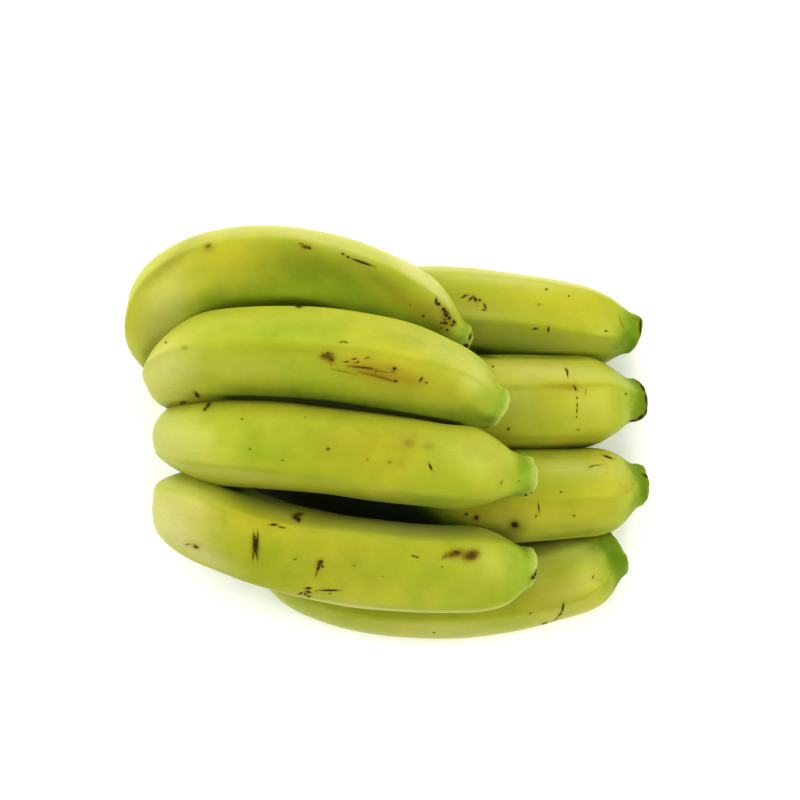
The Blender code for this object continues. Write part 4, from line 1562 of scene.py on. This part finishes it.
INNER_2 = Finger(
    "inner_2", Row.INNER, 17.1, (14.0, 56.0), 27.0, 8.2,
    ((-66, -7, 15), (-58, -6, 23.5), (-45, -4, 28), (-20, -1.3, 29.5), (10, -1.5, 30.3),
     (31, -1.5, 30), (51, -1.5, 28.5), (73, -1, 23.5), (96, 0, 14)),
    (23.0, -38.0, -108.0, 180.0, 95.0),
    swells=(Swell(-60, 50, 95, 1.0), Swell(-60, 50, -95, 1.3)),
    taper=0.92, tip_reach=9.5, tip_blend=6.5, flatness=0.6, green=0.0, deep=1.0, scar=1.15, seed=6,
    marks=(
        Mark(566.4, 370, 1.8, 0.9, -40, 0.9, 0.3), Mark(567.4, 373.2, 2.8, 0.7, -85, 0.9, 0.3),
        Mark(575, 388, 2.4, 0.9, -60, 0.8), Mark(492.9, 366.5, 1.0, 0.9, 0, 0.6, 0.3),
        Mark(508.1, 429.2, 1.3, 1.1, 0, 0.9, 0.3), Mark(626, 394, 1.0, 0.9, 0, 0.7, 0.3),
        Mark(578, 429.7, 1.1, 0.7, 0, 0.6, 0.3), Mark(577, 398, 1.2, 0.6, 90, 0.7, 0.3),
        Mark(577.2, 405, 1.8, 0.6, 90, 0.75, 0.3), Mark(577, 411, 2.4, 0.55, 90, 0.7, 0.4),
        Mark(576.6, 417, 1.0, 0.55, 90, 0.6, 0.3), Mark(585.7, 392, 3.2, 0.5, 88, 0.35, 0.4),
        Mark(637, 380, 4.4, 1.2, -45, 0.97, 0.4), Mark(642.5, 387, 5.0, 1.4, -62, 0.97, 0.4),
        Mark(646, 398, 6.0, 1.2, -86, 0.95), Mark(647, 410, 6.0, 1.5, 72, 0.95),
        Mark(640.5, 417.5, 4.8, 1.5, 36, 0.95), Mark(633, 420.5, 3.4, 0.9, 10, 0.9)),
    smears=(
        Smear(560, 386, 22, 4, -4, brown=0.42, warm=0.35), Smear(572, 387, 7, 4, -10, brown=0.3),
        Smear(516, 388, 10, 3, 0, brown=0.2), Smear(560, 400, 60, 16, 0, warm=0.12),
        Smear(572, 376, 6, 7, 0, brown=0.1), Smear(555, 371, 70, 9, -3, pale_and_painted_light=0.45),
        Smear(590, 405, 26, 20, 0, pale_and_painted_light=0.12), Smear(520, 400, 18, 26, 0, pale_and_painted_light=0.25),
        Smear(484, 356, 12, 2.5, -8, dark=0.8), Smear(545, 357, 60, 2.5, -1, dark=0.7)))

INNER_3 = Finger(
    "inner_3", Row.INNER, 16.8, (14.0, 56.0), 27.0, 7.9,
    ((-66, -21, 15), (-58, -22.5, 23.5), (-45, -26.5, 28), (-20, -33.8, 29.5), (10, -37, 30.3),
     (31, -37.5, 30.5), (51, -37, 28.5), (73, -35.5, 23.5), (97, -33, 14)),
    (66.0, -5.0, -76.0, -148.0, 138.0),
    swells=(Swell(-13, 10, -90, 1.6), Swell(-50, 40, -95, 1.2), Swell(-55, 40, 92, 1.1),
            Swell(20, 13, -80, 5.0)),
    taper=0.8, tip_reach=9.5, tip_blend=6.5, flatness=0.52, green=0.0, deep=0.95, scar=0.7, seed=7,
    marks=(
        Mark(608, 457, 4.6, 0.9, -20, 0.9, 0.2), Mark(595.5, 465.5, 6.0, 0.6, 8, 0.35, 0.6),
        Mark(591, 467, 2.4, 0.6, 30, 0.35, 0.6), Mark(538.8, 508, 4.4, 0.7, -82, 0.6),
        Mark(536, 516, 1.8, 0.6, 78, 0.55), Mark(514.5, 525, 3.4, 2.9, 0, 0.8, 0.5, 0.4),
        Mark(476, 517.6, 2.3, 2.0, 0, 0.85, 0.4, 0.4), Mark(466.3, 514.2, 1.7, 1.2, 0, 0.75, 0.4),
        Mark(560.9, 492, 1.0, 0.8, 0, 0.6, 0.3), Mark(574.1, 515.7, 1.0, 0.9, 0, 0.7, 0.3),
        Mark(645.4, 476, 3.8, 1.0, -40, 0.97, 0.2)),
    smears=(
        Smear(514, 526, 8, 6, 0, brown=0.45), Smear(478, 515, 14, 8, 0, brown=0.35),
        Smear(546, 456.5, 8, 3, 0, brown=0.3), Smear(627.2, 488, 6, 5, 0, brown=0.3, warm=0.3),
        Smear(545, 505, 40, 16, 8, warm=0.35), Smear(568, 528, 8, 4, 0, brown=0.16),
        Smear(575, 468, 55, 10, -3, pale_and_painted_light=0.4), Smear(560, 529, 50, 7, 7, dark=0.2),
        Smear(505, 522, 16, 9, 0, pale_and_painted_light=0.25), Smear(562, 536, 52, 3.5, 7, dark=0.5)))

INNER_4 = Finger(
    "inner_4", Row.INNER_EDGE, 16.4, (14.0, 56.0), 27.0, 9.2,
    ((-66, -33, 11), (-63, -41, 17.5), (-56, -53, 20), (-41, -66, 19), (-18, -75, 16.6),
     (8, -78, 16.8), (30, -77.5, 16.5), (55, -73, 15.5), (74, -66, 13), (87, -59.5, 9)),
    (42.0, -30.0, -104.0, -174.0, 112.0),
    swells=(Swell(-52, 32, 88, 3.0), Swell(-12, 11, -90, 3.2), Swell(-5, 7, 90, 2.4),
            Swell(16, 11, 90, 4.5)),
    taper=0.75, tip_reach=12.0, tip_blend=8.0, flatness=0.45, green=0.1, deep=0.95, scar=0.6, seed=8,
    marks=(
        Mark(562.8, 608, 4.2, 1.0, 80, 0.87, 0.4), Mark(560, 614, 2.8, 0.7, 60, 0.7),
        Mark(556, 618.5, 3.6, 0.6, 42, 0.45), Mark(545.2, 624, 2.8, 1.4, 12, 0.92, 0.4),
        Mark(530.2, 613.3, 1.1, 0.9, 0, 0.5, 0.3), Mark(593.2, 577, 1.6, 0.8, 60, 0.4),
        Mark(434, 632.7, 1.2, 0.7, 0, 0.5), Mark(616, 535, 2.3, 1.5, -10, 0.95, 0.4),
        Mark(609, 533.4, 6.0, 0.6, -8, 0.7, 0.3), Mark(624, 545, 6.0, 0.6, -70, 0.6, 0.4)),
    smears=(
        Smear(560, 612, 10, 12, 0, brown=0.1), Smear(540, 600, 50, 14, 10, warm=0.2),
        Smear(570, 551, 60, 11, 3, pale_and_painted_light=0.4, green=0.2), Smear(530, 570, 16, 20, 0, pale_and_painted_light=0.25),
        Smear(570, 590, 34, 14, 30, pale_and_painted_light=0.3),
        Smear(450, 630, 60, 8, -3, pale_and_painted_light=0.3)))

FINGERS = (OUTER_1, OUTER_2, OUTER_3, OUTER_4, INNER_1, INNER_2, INNER_3, INNER_4)


def main() -> None:
    """Build the fingers, the crown, the table and the studio."""
    logging.basicConfig(level=logging.INFO, format="%(message)s")
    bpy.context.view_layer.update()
    studio = Studio()
    studio.build()
    peel = Peel().material()
    for finger in FINGERS:
        finger.build(studio.view, FINGERS, peel)
    Crown().build(FINGERS, CrownSkin().material())
    Table().build()
    LOG.info("sizes written")


if __name__ == "__main__":
    main()
